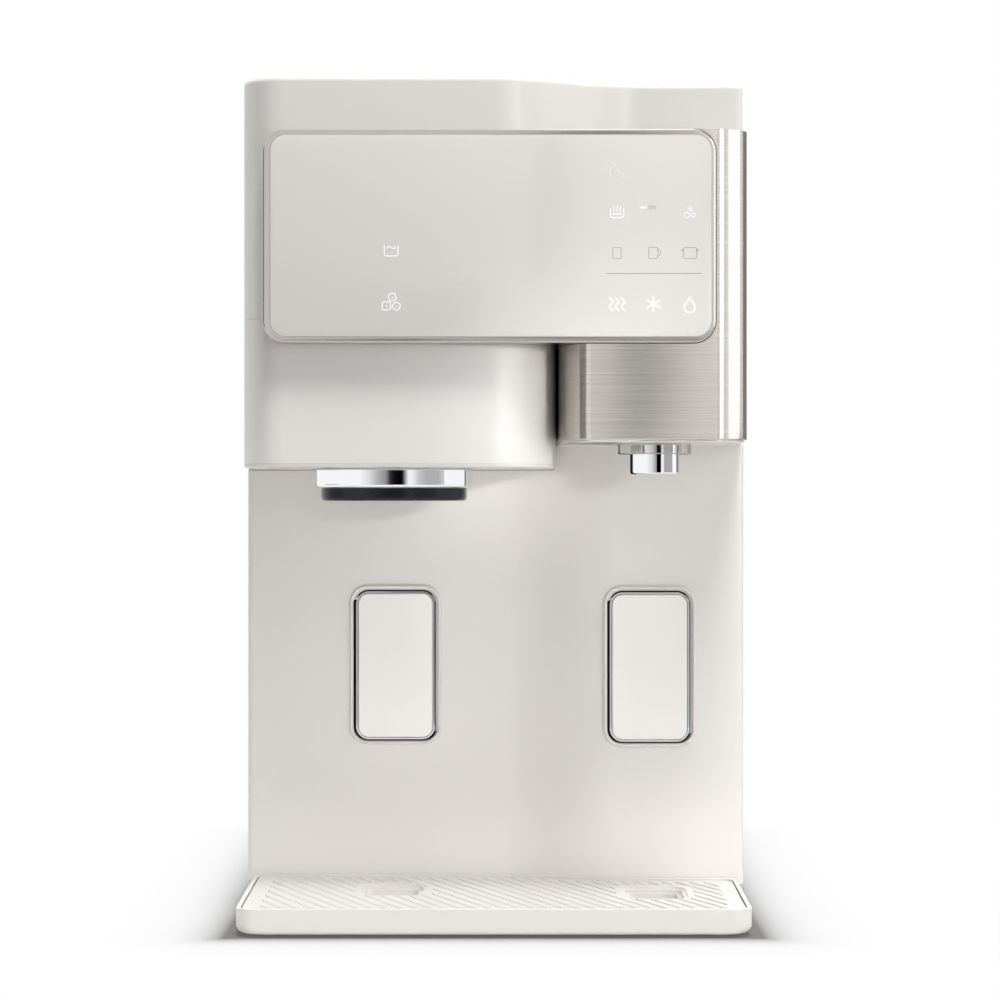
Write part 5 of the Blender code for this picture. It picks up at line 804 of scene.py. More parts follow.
# %% Splash wall
SPLASH_STEP_X = (8 * MM, 73 * MM)
SPLASH_STEP = 19 * MM
SPLASH_CORNER = 4 * MM
WALL_SETBACK = 1.2 * MM
WINDOW = (51 * MM, 92.4 * MM, 8.5 * MM)
RIM_BACK = 7 * MM
LIP_WIDTH = 2.4 * MM
LIP_PROUD = 2.6 * MM
LIP_STEPS = 10
LEDGE_GAP = 0.5 * MM
LEDGE_GROWN = 0.3 * MM
LEDGE_DEPTHS = (1.6 * MM, 3 * MM)
LEDGE_REACH = 40 * MM
LEDGE_OPEN = (8 * MM, 5 * MM, 6 * MM)
LEVER_WIDTH = 48 * MM
LEVER_TRIM = 0.8 * MM
FRAME_RADIUS = 8 * MM
splash_low, splash_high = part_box("lower_front_cover")
water_wall_y = splash_low.y + WALL_SETBACK
ice_wall_y = water_wall_y + SPLASH_STEP


def splash_plan():
    radius = SPLASH_CORNER
    return ([(-HALF_WIDTH, SEAM_Y)]
            + arc(-HALF_WIDTH + radius, ice_wall_y + radius, radius, radius, 180, 270, 8)
            + s_curve((SPLASH_STEP_X[0], ice_wall_y), (SPLASH_STEP_X[1], water_wall_y))
            + arc(HALF_WIDTH - radius, water_wall_y + radius, radius, radius, 270, 360, 8)
            + [(HALF_WIDTH, SEAM_Y)])


def swept_ring(outline, section):
    """A closed section of (inset, y) points swept round a closed front outline."""
    work = bmesh.new()
    rings = []
    for inset, y in section:
        rings.append([work.verts.new((u, y, v)) for u, v in drawn_in(outline, inset, closed=True)])
    for ring, after in zip(rings, rings[1:] + rings[:1]):
        bridge(work, ring, after)
    return closed_mesh(work)


def window_lip(window, wall_y):
    """A half-round lip round a window, rooted in the wall."""
    half = LIP_WIDTH / 2
    angles = [math.pi * step / LIP_STEPS for step in range(LIP_STEPS + 1)]
    section = [(-half - half * math.cos(a), wall_y - LIP_PROUD * math.sin(a)) for a in angles]
    return swept_ring(window, section + [(0, wall_y + WALL / 2), (-LIP_WIDTH, wall_y + WALL / 2)])


def window_ledge(window, wall_y, low, high):
    """A thin plate inside a window, left only above the lever's frame and at its right."""
    x, z = (low.x + high.x) / 2, (low.z + high.z) / 2
    half_x, half_z = LEVER_WIDTH / 2 + LEDGE_GAP, (high.z - low.z) / 2 - LEVER_TRIM / 2 + LEDGE_GAP
    left_open, foot_open, head_closed = LEDGE_OPEN
    front, back = wall_y - PAST, wall_y + 9 * MM
    near, far = (wall_y + depth for depth in LEDGE_DEPTHS)
    ledge = prism(drawn_in(window, -LEDGE_GROWN, closed=True), near, far, "Y")
    middle = prism(rounded(x - half_x, x + half_x, z - half_z, z + half_z, FRAME_RADIUS), front, back, "Y")
    below = block(x - LEDGE_REACH, x + LEDGE_REACH, front, back, low.z - 20 * MM, low.z + foot_open)
    beside = block(x - LEDGE_REACH, x - half_x + left_open, front, back, low.z, high.z - head_closed)
    return cut(ledge, middle, below, beside)


splash_body = prism(splash_plan() + drawn_in(splash_plan(), WALL)[::-1], splash_low.z, splash_high.z)
step_room = block(-HALF_WIDTH - PAST, ICE_END_X + SEAT_GAP, water_wall_y - PAST, SEAM_Y + PAST,
                  base_low.z - SEAT_GAP, splash_high.z + PAST)
windows, rims, lips, ledges = [], [], [], []
for lever, wall_y in (("ice_lever", ice_wall_y), ("water_lever", water_wall_y)):
    low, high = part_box(lever + "_face")
    window = rounded_rect((low.x + high.x) / 2, (low.z + high.z) / 2, *WINDOW)
    windows.append(prism(window, wall_y - PAST, wall_y + RIM_BACK + PAST, "Y"))
    rims.append(prism(drawn_in(window, -LIP_WIDTH, closed=True), wall_y, wall_y + RIM_BACK, "Y"))
    lips.append(window_lip(window, wall_y))
    ledges.append(window_ledge(window, wall_y, *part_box(lever)))
splash_wall = cut(boolean(cut(splash_body, step_room), rims, "UNION"), *windows)
piece("splash_wall", joined(splash_wall, *lips, *ledges), SPLASH_ABS, nodes=["lower_front_cover"],
      edge=0.3 * MM)

# %% [markdown]
# ## Levers
#
# Each lever is an off-white pad in a thin chrome frame. The pad's front is crowned: its rim falls
# back over the last millimetre, so it catches the light along its edges. Behind it an arm and a pin
# carry the lever in its housing.

# %% Levers
FACE_RADIUS = 6.4 * MM
FRAME_DEPTH = 4 * MM
CROWN = 0.8 * MM
CROWN_SPREAD = 1.2 * MM
PIN_RADIUS = 1.5 * MM
PIN_DROP = 5 * MM
PIN_FORWARD = 2.5 * MM
ARM_SHARE = 0.5
ARM_SHORTER = 3.2 * MM
ARM_OVERLAP = 0.5 * MM

for side in ("ice", "water"):
    lever = side + "_lever"
    low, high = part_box(lever)
    face_low, face_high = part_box(lever + "_face")
    x, z = (low.x + high.x) / 2, (low.z + high.z - LEVER_TRIM) / 2
    height = high.z - low.z - LEVER_TRIM
    frame_back = low.y + FRAME_DEPTH
    face = (x, z, face_high.x - face_low.x, face_high.z - face_low.z, FACE_RADIUS)
    frame_body = prism(rounded_rect(x, z, LEVER_WIDTH, height, FRAME_RADIUS), low.y, frame_back, "Y")
    pocket = prism(rounded_rect(*face, -SEAT_GAP), low.y - PAST, face_high.y + SEAT_GAP, "Y")
    arm = prism(rounded_rect(x, z, face[2] * ARM_SHARE, height - ARM_SHORTER, 3 * MM),
                frame_back - ARM_OVERLAP, high.y, "Y")
    pin = rod(PIN_RADIUS, low.x - x, high.x - x, (x, high.y - PIN_FORWARD, high.z - PIN_DROP), 32, "X")
    piece(lever + "_frame", joined(cut(frame_body, pocket), arm, pin), CHROME, lever, [lever], 0.3 * MM)
    shares = [step / RIM_STEPS for step in range(RIM_STEPS + 1)]
    levels = [(face_low.y + CROWN * (1 - math.sqrt(1 - share ** 2)), CROWN_SPREAD * (1 - share))
              for share in shares]
    levels.append((face_high.y, 0.0))
    pad = loft([rounded_rect(*face, inset) for _, inset in levels], [y for y, _ in levels], "Y")
    piece(lever + "_pad", pad, LEVER_ABS, lever, [lever + "_face"], 0.0)

# %% [markdown]
# ## Drip tray
#
# The tray slides out to the front. Its rim is a thin raised wall, its lower edges are rounded, and
# its rear edge follows the splash wall's S-curve. It is the same loft as the hood's, with the rounding
# at the foot.

# %% Drip tray
tray_low, tray_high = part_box("drip_tray")
grille_low, grille_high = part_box("drip_grille")
TRAY_FRONT_HALF = 144 * MM
TRAY_REAR_HALF = tray_high.x
TRAY_WALL = 2.4 * MM
TRAY_LEDGE = 2 * MM
RUN_GAP = 0.6 * MM
TRAY_CORNER = 11 * MM
TRAY_REAR_CORNER = 9 * MM
TRAY_SIDE_EDGE = 4.5 * MM
TRAY_FRONT_EDGE = 1.2 * MM
TRAY_BOTTOM = 2 * MM
TRAY_LEAST_RADIUS = 1.5 * MM
TRAY_FOOT = [(0, 0), (5.6 * MM, 0), (6 * MM, 0.4 * MM), (6 * MM, 3 * MM), (0, 3 * MM)]
TRAY_FOOT_INSET = 18 * MM


def tray_plan(inset=0.0, side_inset=0.0):
    front, rear = TRAY_FRONT_HALF - inset - side_inset, TRAY_REAR_HALF - inset - side_inset
    front_y = tray_low.y + inset
    radius = max(TRAY_CORNER - inset, TRAY_LEAST_RADIUS)
    rear_radius = max(TRAY_REAR_CORNER - inset, TRAY_LEAST_RADIUS)
    left_y, right_y = ice_wall_y - RUN_GAP, water_wall_y - RUN_GAP
    step = s_curve((SPLASH_STEP_X[0], left_y), (SPLASH_STEP_X[1], right_y))[::-1]
    return (
        arc(-front + radius, front_y + radius, radius, radius, 180, 270)
        + arc(front - radius, front_y + radius, radius, radius, 270, 360)
        + arc(rear - rear_radius, right_y - inset - rear_radius, rear_radius, rear_radius, 0, 90)
        + drawn_in(step, inset)
        + arc(-rear + rear_radius, left_y - inset - rear_radius, rear_radius, rear_radius, 90, 180))


tray_outlines, tray_heights = [], []
for sine, cosine in quarter_turn():
    side_in, height = TRAY_SIDE_EDGE * (1 - sine), TRAY_SIDE_EDGE * (1 - cosine)
    foot = max(1 - height / TRAY_FRONT_EDGE, 0.0)
    tray_outlines.append(tray_plan(TRAY_FRONT_EDGE * (1 - math.sqrt(1 - foot ** 2)), side_in))
    tray_heights.append(TRAY_BOTTOM + height)
tray_outlines.append(tray_plan())
tray_heights.append(tray_high.z)
seat_z = grille_low.z - SEAT_GAP
tray_body = loft(tray_outlines, tray_heights)
tray_seat = prism(tray_plan(TRAY_WALL), seat_z, tray_high.z + PAST)
tray_basin = prism(tray_plan(TRAY_WALL + TRAY_LEDGE), TRAY_BOTTOM + 2 * MM, seat_z + MM)
tray_feet = [lathe(TRAY_FOOT, (sign * (TRAY_FRONT_HALF - TRAY_FOOT_INSET), y, 0), 32) for sign in (-1, 1)
             for y in (tray_low.y + TRAY_FOOT_INSET, water_wall_y - TRAY_FOOT_INSET)]
piece("drip_tray_tub", joined(cut(tray_body, tray_seat, tray_basin), *tray_feet), WHITE_ABS, "drip_tray",
      ["drip_tray"], 0.55 * MM)

# %% [markdown]
# ## Drip grille
#
# The grille lifts out of the tray. Some forty low ribs run slantwise across it and lead spilt water to
# two stepped openings. One Geometry Nodes tree lays the ribs out: a line of points, a bar on each,
# turned by the slant. The bars are then trimmed to the grille's margin and joined to the plate, so
# each rib ends in a small face to the front that catches the light.

# %% Functions for Geometry Nodes
def new_tree(name, **inputs):
    """A Geometry Nodes tree with the given inputs, and the sockets that hand them out."""
    tree = bpy.data.node_groups.new(name, "GeometryNodeTree")
    tree.is_modifier = True
    for label, kind in inputs.items():
        tree.interface.new_socket(label, in_out="INPUT", socket_type="NodeSocket" + kind)
    tree.interface.new_socket("Geometry", in_out="OUTPUT", socket_type="NodeSocketGeometry")
    return tree, node(tree, "NodeGroupInput").outputs


def along_axes(tree, **lengths):
    return node(tree, "ShaderNodeCombineXYZ", lengths).outputs[0]


def close_tree(tree, copies, finish):
    """Makes real mesh of the copies, gives it one material and hands it out."""
    real = node(tree, "GeometryNodeRealizeInstances", {"Geometry": copies})
    finished = node(tree, "GeometryNodeSetMaterial", {"Geometry": real.outputs[0], "Material": finish})
    node(tree, "NodeGroupOutput", {"Geometry": finished.outputs[0]})
    return tree


def grown(tree, points=(), **values):
    """The tree's result as a plain mesh. Inputs are set by their sockets' identifiers."""
    seed = bpy.data.meshes.new("holder")
    if points:
        seed.from_pydata(points, [], [])
    holder = bpy.data.objects.new("holder", seed)
    bpy.context.scene.collection.objects.link(holder)
    modifier = holder.modifiers.new("grow", "NODES")
    modifier.node_group = tree
    for item in tree.interface.items_tree:
        if item.item_type == "SOCKET" and item.in_out == "INPUT" and item.name in values:
            modifier[item.identifier] = values[item.name]
    graph = bpy.context.evaluated_depsgraph_get()
    mesh = bpy.data.meshes.new_from_object(holder.evaluated_get(graph))
    bpy.data.objects.remove(holder)
    return mesh


# %% Ribs, by Geometry Nodes
def rib_tree():
    tree, given = new_tree("slanted_ribs", Count="Int", Pitch="Float", Width="Float", Length="Float",
                           Height="Float", Slant="Float", Centre="Vector", Finish="Material")
    size = along_axes(tree, X=given["Width"], Y=given["Length"], Z=given["Height"])
    bar = node(tree, "GeometryNodeMeshCube", {"Size": size})
    reach = maths(tree, "MULTIPLY", given["Count"], given["Pitch"])
    line = node(tree, "GeometryNodeMeshLine", {
        "Count": given["Count"], "Start Location": along_axes(tree, X=maths(tree, "MULTIPLY", reach, -0.5)),
        "Offset": along_axes(tree, X=given["Pitch"])})
    spread = node(tree, "GeometryNodeInstanceOnPoints", {
        "Points": line.outputs[0], "Instance": bar.outputs["Mesh"],
        "Rotation": along_axes(tree, Z=given["Slant"])})
    placed = node(tree, "GeometryNodeTransform", {
        "Geometry": spread.outputs[0], "Translation": given["Centre"]})
    return close_tree(tree, placed.outputs[0], given["Finish"])


# %% Drip grille
RIB_WIDTH = 2.2 * MM
RIB_HEIGHT = 0.7 * MM
RIB_PITCH = 8.27 * MM
RIB_SLANT = math.radians(22)
RIB_COUNT = 45
RIB_MARGIN = 9.5 * MM
DRAIN = (37.4 * MM, 53 * MM, 9 * MM)
DRAIN_STEPS = ((0.0, 1.3 * MM), (2.2 * MM, 3.6 * MM))
DRAIN_INNER = 5.0 * MM
DRAIN_SKIRT = 8.5 * MM
SKIRT_WALL = 1.2 * MM
DRAIN_MARGIN = 4 * MM
BAR_LENGTH = 400 * MM
BAR_HEIGHT = 10 * MM

edge_in = TRAY_WALL + RUN_GAP
middle_y = (grille_low.y + grille_high.y) / 2
deck_z = grille_high.z - RIB_HEIGHT


def drain_outline(place, inset):
    """The opening's rounded outline round a place in plan, drawn in."""
    x, y = place
    half_x, half_y = DRAIN[0] / 2 - inset, DRAIN[1] / 2 - inset
    return rounded(x - half_x, x + half_x, y - half_y, y + half_y, DRAIN[2] - inset * 0.8)


openings, skirts, margins = [], [], []
bowl_inset, bowl_depth = DRAIN_STEPS[-1]
for place in ((chute_x, chute_y), (tap_x, tap_y)):
    for inset, depth in (*DRAIN_STEPS, (DRAIN_INNER, 2 * DRAIN_SKIRT)):
        openings.append(prism(drain_outline(place, inset), deck_z - depth, grille_high.z + PAST))
    skirts.append(prism(drain_outline(place, DRAIN_INNER - SKIRT_WALL), deck_z - DRAIN_SKIRT, deck_z - MM))
    skirts.append(prism(drain_outline(place, bowl_inset - SKIRT_WALL), deck_z - (bowl_depth + SKIRT_WALL),
                        deck_z - MM / 2))
    margins.append(prism(drain_outline(place, -DRAIN_MARGIN), grille_low.z, grille_high.z + 8 * MM))
bars = grown(rib_tree(), Count=RIB_COUNT, Pitch=RIB_PITCH, Width=RIB_WIDTH, Length=BAR_LENGTH,
             Height=BAR_HEIGHT, Slant=RIB_SLANT, Centre=(0, middle_y, grille_high.z), Finish=WHITE_ABS)
field = cut(prism(tray_plan(edge_in + RIB_MARGIN), deck_z - 0.5 * MM, grille_high.z), *margins)
ribs = boolean(field, [bars], "INTERSECT")
plate = prism(tray_plan(edge_in), grille_low.z, deck_z)
plate = boolean(plate, [ribs] + skirts, "UNION")
piece("drip_grille_plate", cut(plate, *openings), WHITE_ABS, "drip_grille", ["drip_grille"], 0.22 * MM, 2)

# %% [markdown]
# ## Side covers, top deck, lid and rear cover
#
# The body behind the front is a plain sheet box. The photograph doesn't show it, so these are plain
# covers as such machines have: louvred vents beside the compressor, a lid over the ice bin and a
# screwed rear cover. The vents are a row of slots, laid out by a second Geometry Nodes tree.

# %% A row of slots, by Geometry Nodes
def slot_tree():
    tree, given = new_tree("vent_slots", Count="Int", Pitch="Float", Length="Float", Height="Float",
                           Depth="Float", Start="Vector", Turn="Float", Finish="Material")
    outline = node(tree, "GeometryNodeCurvePrimitiveQuadrilateral", {
        "Width": given["Length"], "Height": given["Height"]})
    soft = node(tree, "GeometryNodeFilletCurve", {
        "Curve": outline.outputs[0], "Radius": maths(tree, "MULTIPLY", given["Height"], 0.5), "Count": 6,
        "Limit Radius": True}, mode="POLY")
    sheet = node(tree, "GeometryNodeFillCurve", {"Curve": soft.outputs[0]}, mode="NGONS")
    solid = node(tree, "GeometryNodeExtrudeMesh", {
        "Mesh": sheet.outputs[0], "Offset": along_axes(tree, Z=given["Depth"]), "Individual": False})
    other = node(tree, "GeometryNodeFlipFaces", {"Mesh": sheet.outputs[0]})
    both = node(tree, "GeometryNodeJoinGeometry")
    for side in (solid, other):
        tree.links.new(side.outputs[0], both.inputs[0])
    welded = node(tree, "GeometryNodeMergeByDistance", {"Geometry": both.outputs[0], "Distance": 1e-6})
    line = node(tree, "GeometryNodeMeshLine", {
        "Count": given["Count"], "Offset": along_axes(tree, Y=given["Pitch"])})
    row = node(tree, "GeometryNodeInstanceOnPoints", {
        "Points": line.outputs[0], "Instance": welded.outputs[0]})
    stood = node(tree, "GeometryNodeTransform", {
        "Geometry": row.outputs[0], "Rotation": (math.radians(90), 0, 0)})
    placed = node(tree, "GeometryNodeTransform", {
        "Geometry": stood.outputs[0], "Rotation": along_axes(tree, Z=given["Turn"]),
        "Translation": given["Start"]})
    return close_tree(tree, placed.outputs[0], given["Finish"])


SLOT_TREE = slot_tree()

# %% Side covers
VENT_PITCH = 11 * MM
VENT_HEIGHT = 3.5 * MM
VENT_Z = 60 * MM
SLOT_DEPTH = 20 * MM
SIDE_VENT_LENGTH = 90 * MM
SIDE_VENT_Y = 150 * MM
for side, sign in (("left", -1), ("right", 1)):
    low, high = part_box(side + "_side_cover")
    middle = (low.x + high.x) / 2
    slots = grown(SLOT_TREE, Count=9, Pitch=VENT_PITCH, Length=SIDE_VENT_LENGTH, Height=VENT_HEIGHT,
                  Depth=SLOT_DEPTH, Start=(middle + SLOT_DEPTH / 2, SIDE_VENT_Y, VENT_Z + VENT_HEIGHT / 2),
                  Turn=math.radians(-90), Finish=WHITE_ABS)
    xs = [v.co.x for v in slots.vertices]
    slots.transform(Matrix.Translation((middle - (min(xs) + max(xs)) / 2, 0, 0)))
    cover = block(low.x, high.x, low.y, high.y, low.z, high.z)
    piece(side + "_side_panel", cut(cover, slots), WHITE_ABS, nodes=[side + "_side_cover"], edge=0.6 * MM)

# %% Top deck and lid
deck_low, deck_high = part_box("top_deck")
lid_low, lid_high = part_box("top_lid")
LID_HALF = 126 * MM
LID_FRONT_Y = lid_low.y
LID_HINGE_Y = 150 * MM
LID_THICKNESS = 2.5 * MM
BARREL = 2.4 * MM
LID_PIN_RADIUS = 1.2 * MM
LID_GAP = 0.8 * MM
LEDGE = 6 * MM
lid_rear = LID_HINGE_Y + BARREL + LID_GAP
seat = deck_high.z - LID_THICKNESS - SEAT_GAP
deck = block(deck_low.x, deck_high.x, deck_low.y, deck_high.y, deck_low.z, deck_high.z)
recess = prism(rounded(-LID_HALF - LID_GAP, LID_HALF + LID_GAP, LID_FRONT_Y - LID_GAP, lid_rear, 3 * MM, 6),
               seat, deck_high.z + PAST)
opening_cut = prism(rounded(
    -LID_HALF + LEDGE, LID_HALF - LEDGE, LID_FRONT_Y + LEDGE, LID_HINGE_Y - LEDGE, 5 * MM, 8),
    deck_low.z - PAST, deck_high.z + PAST)
channel = block(-LID_HALF - LID_GAP, LID_HALF + LID_GAP, LID_HINGE_Y - BARREL - LID_GAP, lid_rear,
                deck_low.z - PAST, deck_high.z + PAST)
piece("top_deck_panel", cut(deck, recess, opening_cut, channel), WHITE_ABS, nodes=["top_deck"], edge=0.6 * MM)
lid_plate = prism(rounded(-LID_HALF, LID_HALF, LID_FRONT_Y, LID_HINGE_Y, 2.2 * MM, 6),
                  deck_high.z - LID_THICKNESS, deck_high.z)
hinge = (0, LID_HINGE_Y, deck_high.z - BARREL)
barrel = rod(BARREL, -LID_HALF, LID_HALF, hinge, 32, "X")
pin = rod(LID_PIN_RADIUS, lid_low.x, lid_high.x, hinge, 24, "X")
piece("top_lid_plate", joined(lid_plate, barrel, pin), WHITE_ABS, "top_lid", ["top_lid"], 0.4 * MM)

# %% Rear cover
rear_low, rear_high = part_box("rear_cover")
cond_low, cond_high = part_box("condenser")
CONDENSER_X = (cond_low.x + cond_high.x) / 2
REAR_VENT_LENGTH = 104 * MM
slots = grown(SLOT_TREE, Count=12, Pitch=VENT_PITCH, Length=REAR_VENT_LENGTH, Height=VENT_HEIGHT,
              Depth=SLOT_DEPTH, Start=(CONDENSER_X, rear_high.y + SLOT_DEPTH / 2, VENT_Z + VENT_HEIGHT / 2),
              Turn=0.0, Finish=GALVANISED)
ys = [v.co.y for v in slots.vertices]
slots.transform(Matrix.Translation((0, (rear_low.y + rear_high.y) / 2 - (min(ys) + max(ys)) / 2, 0)))
SOCKET = (-104 * MM, 330 * MM, 28 * MM, 48 * MM)
SWITCH = (-66 * MM, 330 * MM, 15 * MM, 21 * MM)
FITTINGS = ((-118 * MM, 46 * MM), (-88 * MM, 46 * MM))
FITTING_RADIUS = 7 * MM
holes = [slots]
for opening in (SOCKET, SWITCH):
    holes.append(prism(rounded_rect(*opening, MM, steps=4), rear_low.y - PAST, rear_high.y + PAST, "Y"))
for x, z in FITTINGS:
    holes.append(rod(FITTING_RADIUS, -9 * MM, 9 * MM, (x, rear_high.y, z), 48, "Y"))
SCREW_INSET = 9 * MM
edge_x = rear_high.x - SCREW_INSET
screw_low, screw_high = rear_low.z + SCREW_INSET, rear_high.z - SCREW_INSET
SCREWS = [(sign * edge_x, screw_low + (screw_high - screw_low) * row / 3)
          for sign in (-1, 1) for row in range(4)]
SCREWS += [(0, screw_low), (0, screw_high)]
rear_sheet = block(rear_low.x, rear_high.x, rear_low.y, rear_high.y, rear_low.z, rear_high.z)
piece("rear_cover_sheet", cut(rear_sheet, *holes), GALVANISED, nodes=["rear_cover"], edge=0.3 * MM)

# %% [markdown]
# ## Feet and screws
#
# Four rubber feet carry the cabinet. The rear cover is held by pan-head screws with a cross recess:
# one screw is turned and cut once, and a Geometry Nodes tree sets a copy on each hole.

# %% Feet
for name in ("foot_front_left", "foot_front_right", "foot_rear_left", "foot_rear_right"):
    low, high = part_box(name)
    radius = (high.x - low.x) / 2
    profile = ([(0, 0), (radius - 3.5 * MM, 0)] + corner(radius - 2.5 * MM, 1.2 * MM, 1.2 * MM, 270, 340)
               + [(radius, high.z - 1 * MM), (radius - 1 * MM, high.z), (0, high.z)])
    piece(name + "_rubber", lathe(profile, ((low.x + high.x) / 2, (low.y + high.y) / 2, 0), 64), RUBBER,
          nodes=[name], edge=0.3 * MM)

# %% Screws, by Geometry Nodes
HEAD_RADIUS = 3.6 * MM
HEAD_HEIGHT = 1.6 * MM
HEAD_ROUND = 1.2 * MM
SHANK = (1.6 * MM, 1.5 * MM)
CROSS_ARM = 1.9 * MM
CROSS_SLIT = 0.45 * MM
CROSS_FLOOR = 0.5 * MM
shank_radius, shank_length = SHANK
head = lathe([(0, -shank_length), (shank_radius, -shank_length), (shank_radius, 0), (HEAD_RADIUS, 0)]
             + corner(HEAD_RADIUS - HEAD_ROUND, 0.4 * MM, HEAD_ROUND, 0, 80, 4)
             + [(0, HEAD_HEIGHT + 0.05 * MM)], (0, 0, 0), 24)
head = cut(head, *(block(-u, u, -v, v, CROSS_FLOOR, PAST)
                   for u, v in ((CROSS_ARM, CROSS_SLIT), (CROSS_SLIT, CROSS_ARM))))
head.transform(Matrix.Rotation(math.radians(-90), 4, "X"))


def screw_tree():
    tree, given = new_tree("screws_on_holes", Geometry="Geometry", Screw="Object", Finish="Material")
    screw = node(tree, "GeometryNodeObjectInfo", {"Object": given["Screw"]})
    spread = node(tree, "GeometryNodeInstanceOnPoints", {
        "Points": given["Geometry"], "Instance": screw.outputs["Geometry"]})
    return close_tree(tree, spread.outputs[0], given["Finish"])


pattern = bpy.data.objects.new("pattern", head)
bpy.context.scene.collection.objects.link(pattern)
screws = grown(screw_tree(), [(x, rear_high.y, z) for x, z in SCREWS], Screw=pattern, Finish=STAINLESS)
bpy.data.objects.remove(pattern)
piece("rear_cover_screws", screws, STAINLESS, edge=0.0)

# %% [markdown]
# ## Inner parts and rear fittings
#
# The parts behind the covers keep their CAD meshes, because their shapes are right. Each gets the
# finish of the real thing: stainless and galvanised sheet, black enamel on the compressor, aluminium
# fins, pale food-grade plastic round the ice.

# %% Finishes of the CAD parts
CAD_FINISHES = {
    "base_pan": GALVANISED, "mid_deck": GALVANISED, "ice_bin": INNER_PLASTIC, "ice_auger": STAINLESS,
    "auger_motor": DARK_ABS, "ice_chute": INNER_PLASTIC, "ice_gate": INNER_PLASTIC, "gate_motor": DARK_ABS,
    "ice_maker_frame": STAINLESS, "evaporator": ALUMINIUM, "water_tray": INNER_PLASTIC,
    "water_tray_motor": DARK_ABS, "compressor": ENAMEL, "condenser": ALUMINIUM, "fan_shroud": DARK_ABS,
    "fan_rotor": DARK_ABS, "fan_motor": GALVANISED, "filter_head": DARK_ABS,
    "filter_cartridge": INNER_PLASTIC, "cold_tank": STAINLESS, "hot_tank": STAINLESS,
    "water_pump": DARK_ABS, "water_hose": CLEAR_ACRYLIC, "main_board": BOARD, "display_board": BOARD,
    "power_inlet": BLACK_ABS, "switch_housing": BLACK_ABS, "main_switch": BLACK_ABS,
    "water_fitting_block": BLUE_NYLON, "ice_lever_housing": DARK_ABS, "water_lever_housing": DARK_ABS,
    "ice_lever_spring": STAINLESS, "water_lever_spring": STAINLESS,
}
for name, look in CAD_FINISHES.items():
    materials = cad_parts[name].data.materials
    if not materials:
        materials.append(look)
    for index in range(len(materials)):
        materials[index] = look
print(len(CAD_FINISHES), "CAD parts finished")

# %% [markdown]
# ## Symbols on the panel
#
# The panel carries a few plain symbols: ice, hot and cold water, a light bar, a glass, a mug. They are
# screen-printed, so each is a flat shape a few hundredths of a millimetre thick on the glass. A
# function turns a stroke into a thin ribbon, and places are given in pixels of the photograph, which
# another function turns into millimetres on the glass.

# %% Functions for the symbols
PRINT_Y = glass_low.y - 0.02 * MM
PRINT_DEPTH = 0.05 * MM
PHOTO_SIZE = 1000
PIXEL_FOCAL = LENS_MM / SENSOR_MM * PHOTO_SIZE


def on_glass(px, py):
    """A pixel of the photograph as a place on the glass, by the camera's own projection."""
    distance = glass_low.y - CAMERA_PLACE[1]
    return (CAMERA_PLACE[0] + (px - PHOTO_SIZE / 2) * distance / PIXEL_FOCAL,
            CAMERA_PLACE[2] + (PHOTO_SIZE / 2 - py) * distance / PIXEL_FOCAL)


def patch(points):
    """A filled shape on the glass, in photograph pixels."""
    return prism([on_glass(*p) for p in points], PRINT_Y - PRINT_DEPTH, PRINT_Y, "Y")


def stroke(points, width, closed=False):
    """A line of a given width in pixels along points, as one flat ribbon."""
    left = drawn_in(points, width / 2, closed)
    right = drawn_in(points, -width / 2, closed)
    if not closed:
        return patch(left + right[::-1])
    work = bmesh.new()
    y_low, y_high = PRINT_Y - PRINT_DEPTH, PRINT_Y
    rings = []
    for outline, y in ((left, y_low), (right, y_low), (right, y_high), (left, y_high)):
        rings.append([work.verts.new(at(on_glass(*p), y, "Y")) for p in outline])
    for ring, after in zip(rings, rings[1:] + rings[:1]):
        bridge(work, ring, after)
    return closed_mesh(work)


def bar(px, py, width, height):
    """A thin bar with round ends, in pixels."""
    return patch(rounded_rect(px, py, width, height, height / 2 - 0.01, steps=4))


def drop(px, py, size):
    """A water drop: a round foot and a point at the top."""
    radius = size * 0.36
    return arc(px, py + size * 0.14, radius, radius, -25, 205, 16) + [(px, py - size / 2)]


def wave(px, top, bottom, sway, width):
    """An upright line that sways three times from side to side, like rising steam."""
    points = []
    for step in range(31):
        share = step / 30
        points.append((px - sway * math.cos(3 * math.pi * share), top + (bottom - top) * share))
    return stroke(points, width)


def star(px, py, radius, width):
    """Three crossed bars with round ends, like a snowflake, in one outline."""
    points = []
    reach = radius - width / 2
    for turn in range(0, 360, 60):
        along = math.radians(turn + 90)
        points += arc(px + reach * math.cos(along), py + reach * math.sin(along), width / 2, width / 2, turn,
                      turn + 180, 8)
        notch = math.radians(turn + 120)
        points.append((px + width * math.cos(notch), py + width * math.sin(notch)))
    return patch(points)


def tub(left, right, top, bottom, radius, width):
    """A cup's outline, open at the top."""
    return stroke([(left, top)] + arc(left + radius, bottom - radius, radius, radius, 180, 90, 6)
                  + arc(right - radius, bottom - radius, radius, radius, 90, 0, 6) + [(right, top)], width)


def ring(px, py, radius, width):
    return stroke(arc(px, py, radius, radius, 0, 360, 40)[:-1], width, True)


def turned_square(px, py, size, radius, tilt):
    turn = math.radians(tilt)
    return [(px + u * math.cos(turn) - v * math.sin(turn), py + u * math.sin(turn) + v * math.cos(turn))
            for u, v in rounded_rect(0, 0, size, size, radius, steps=5)]


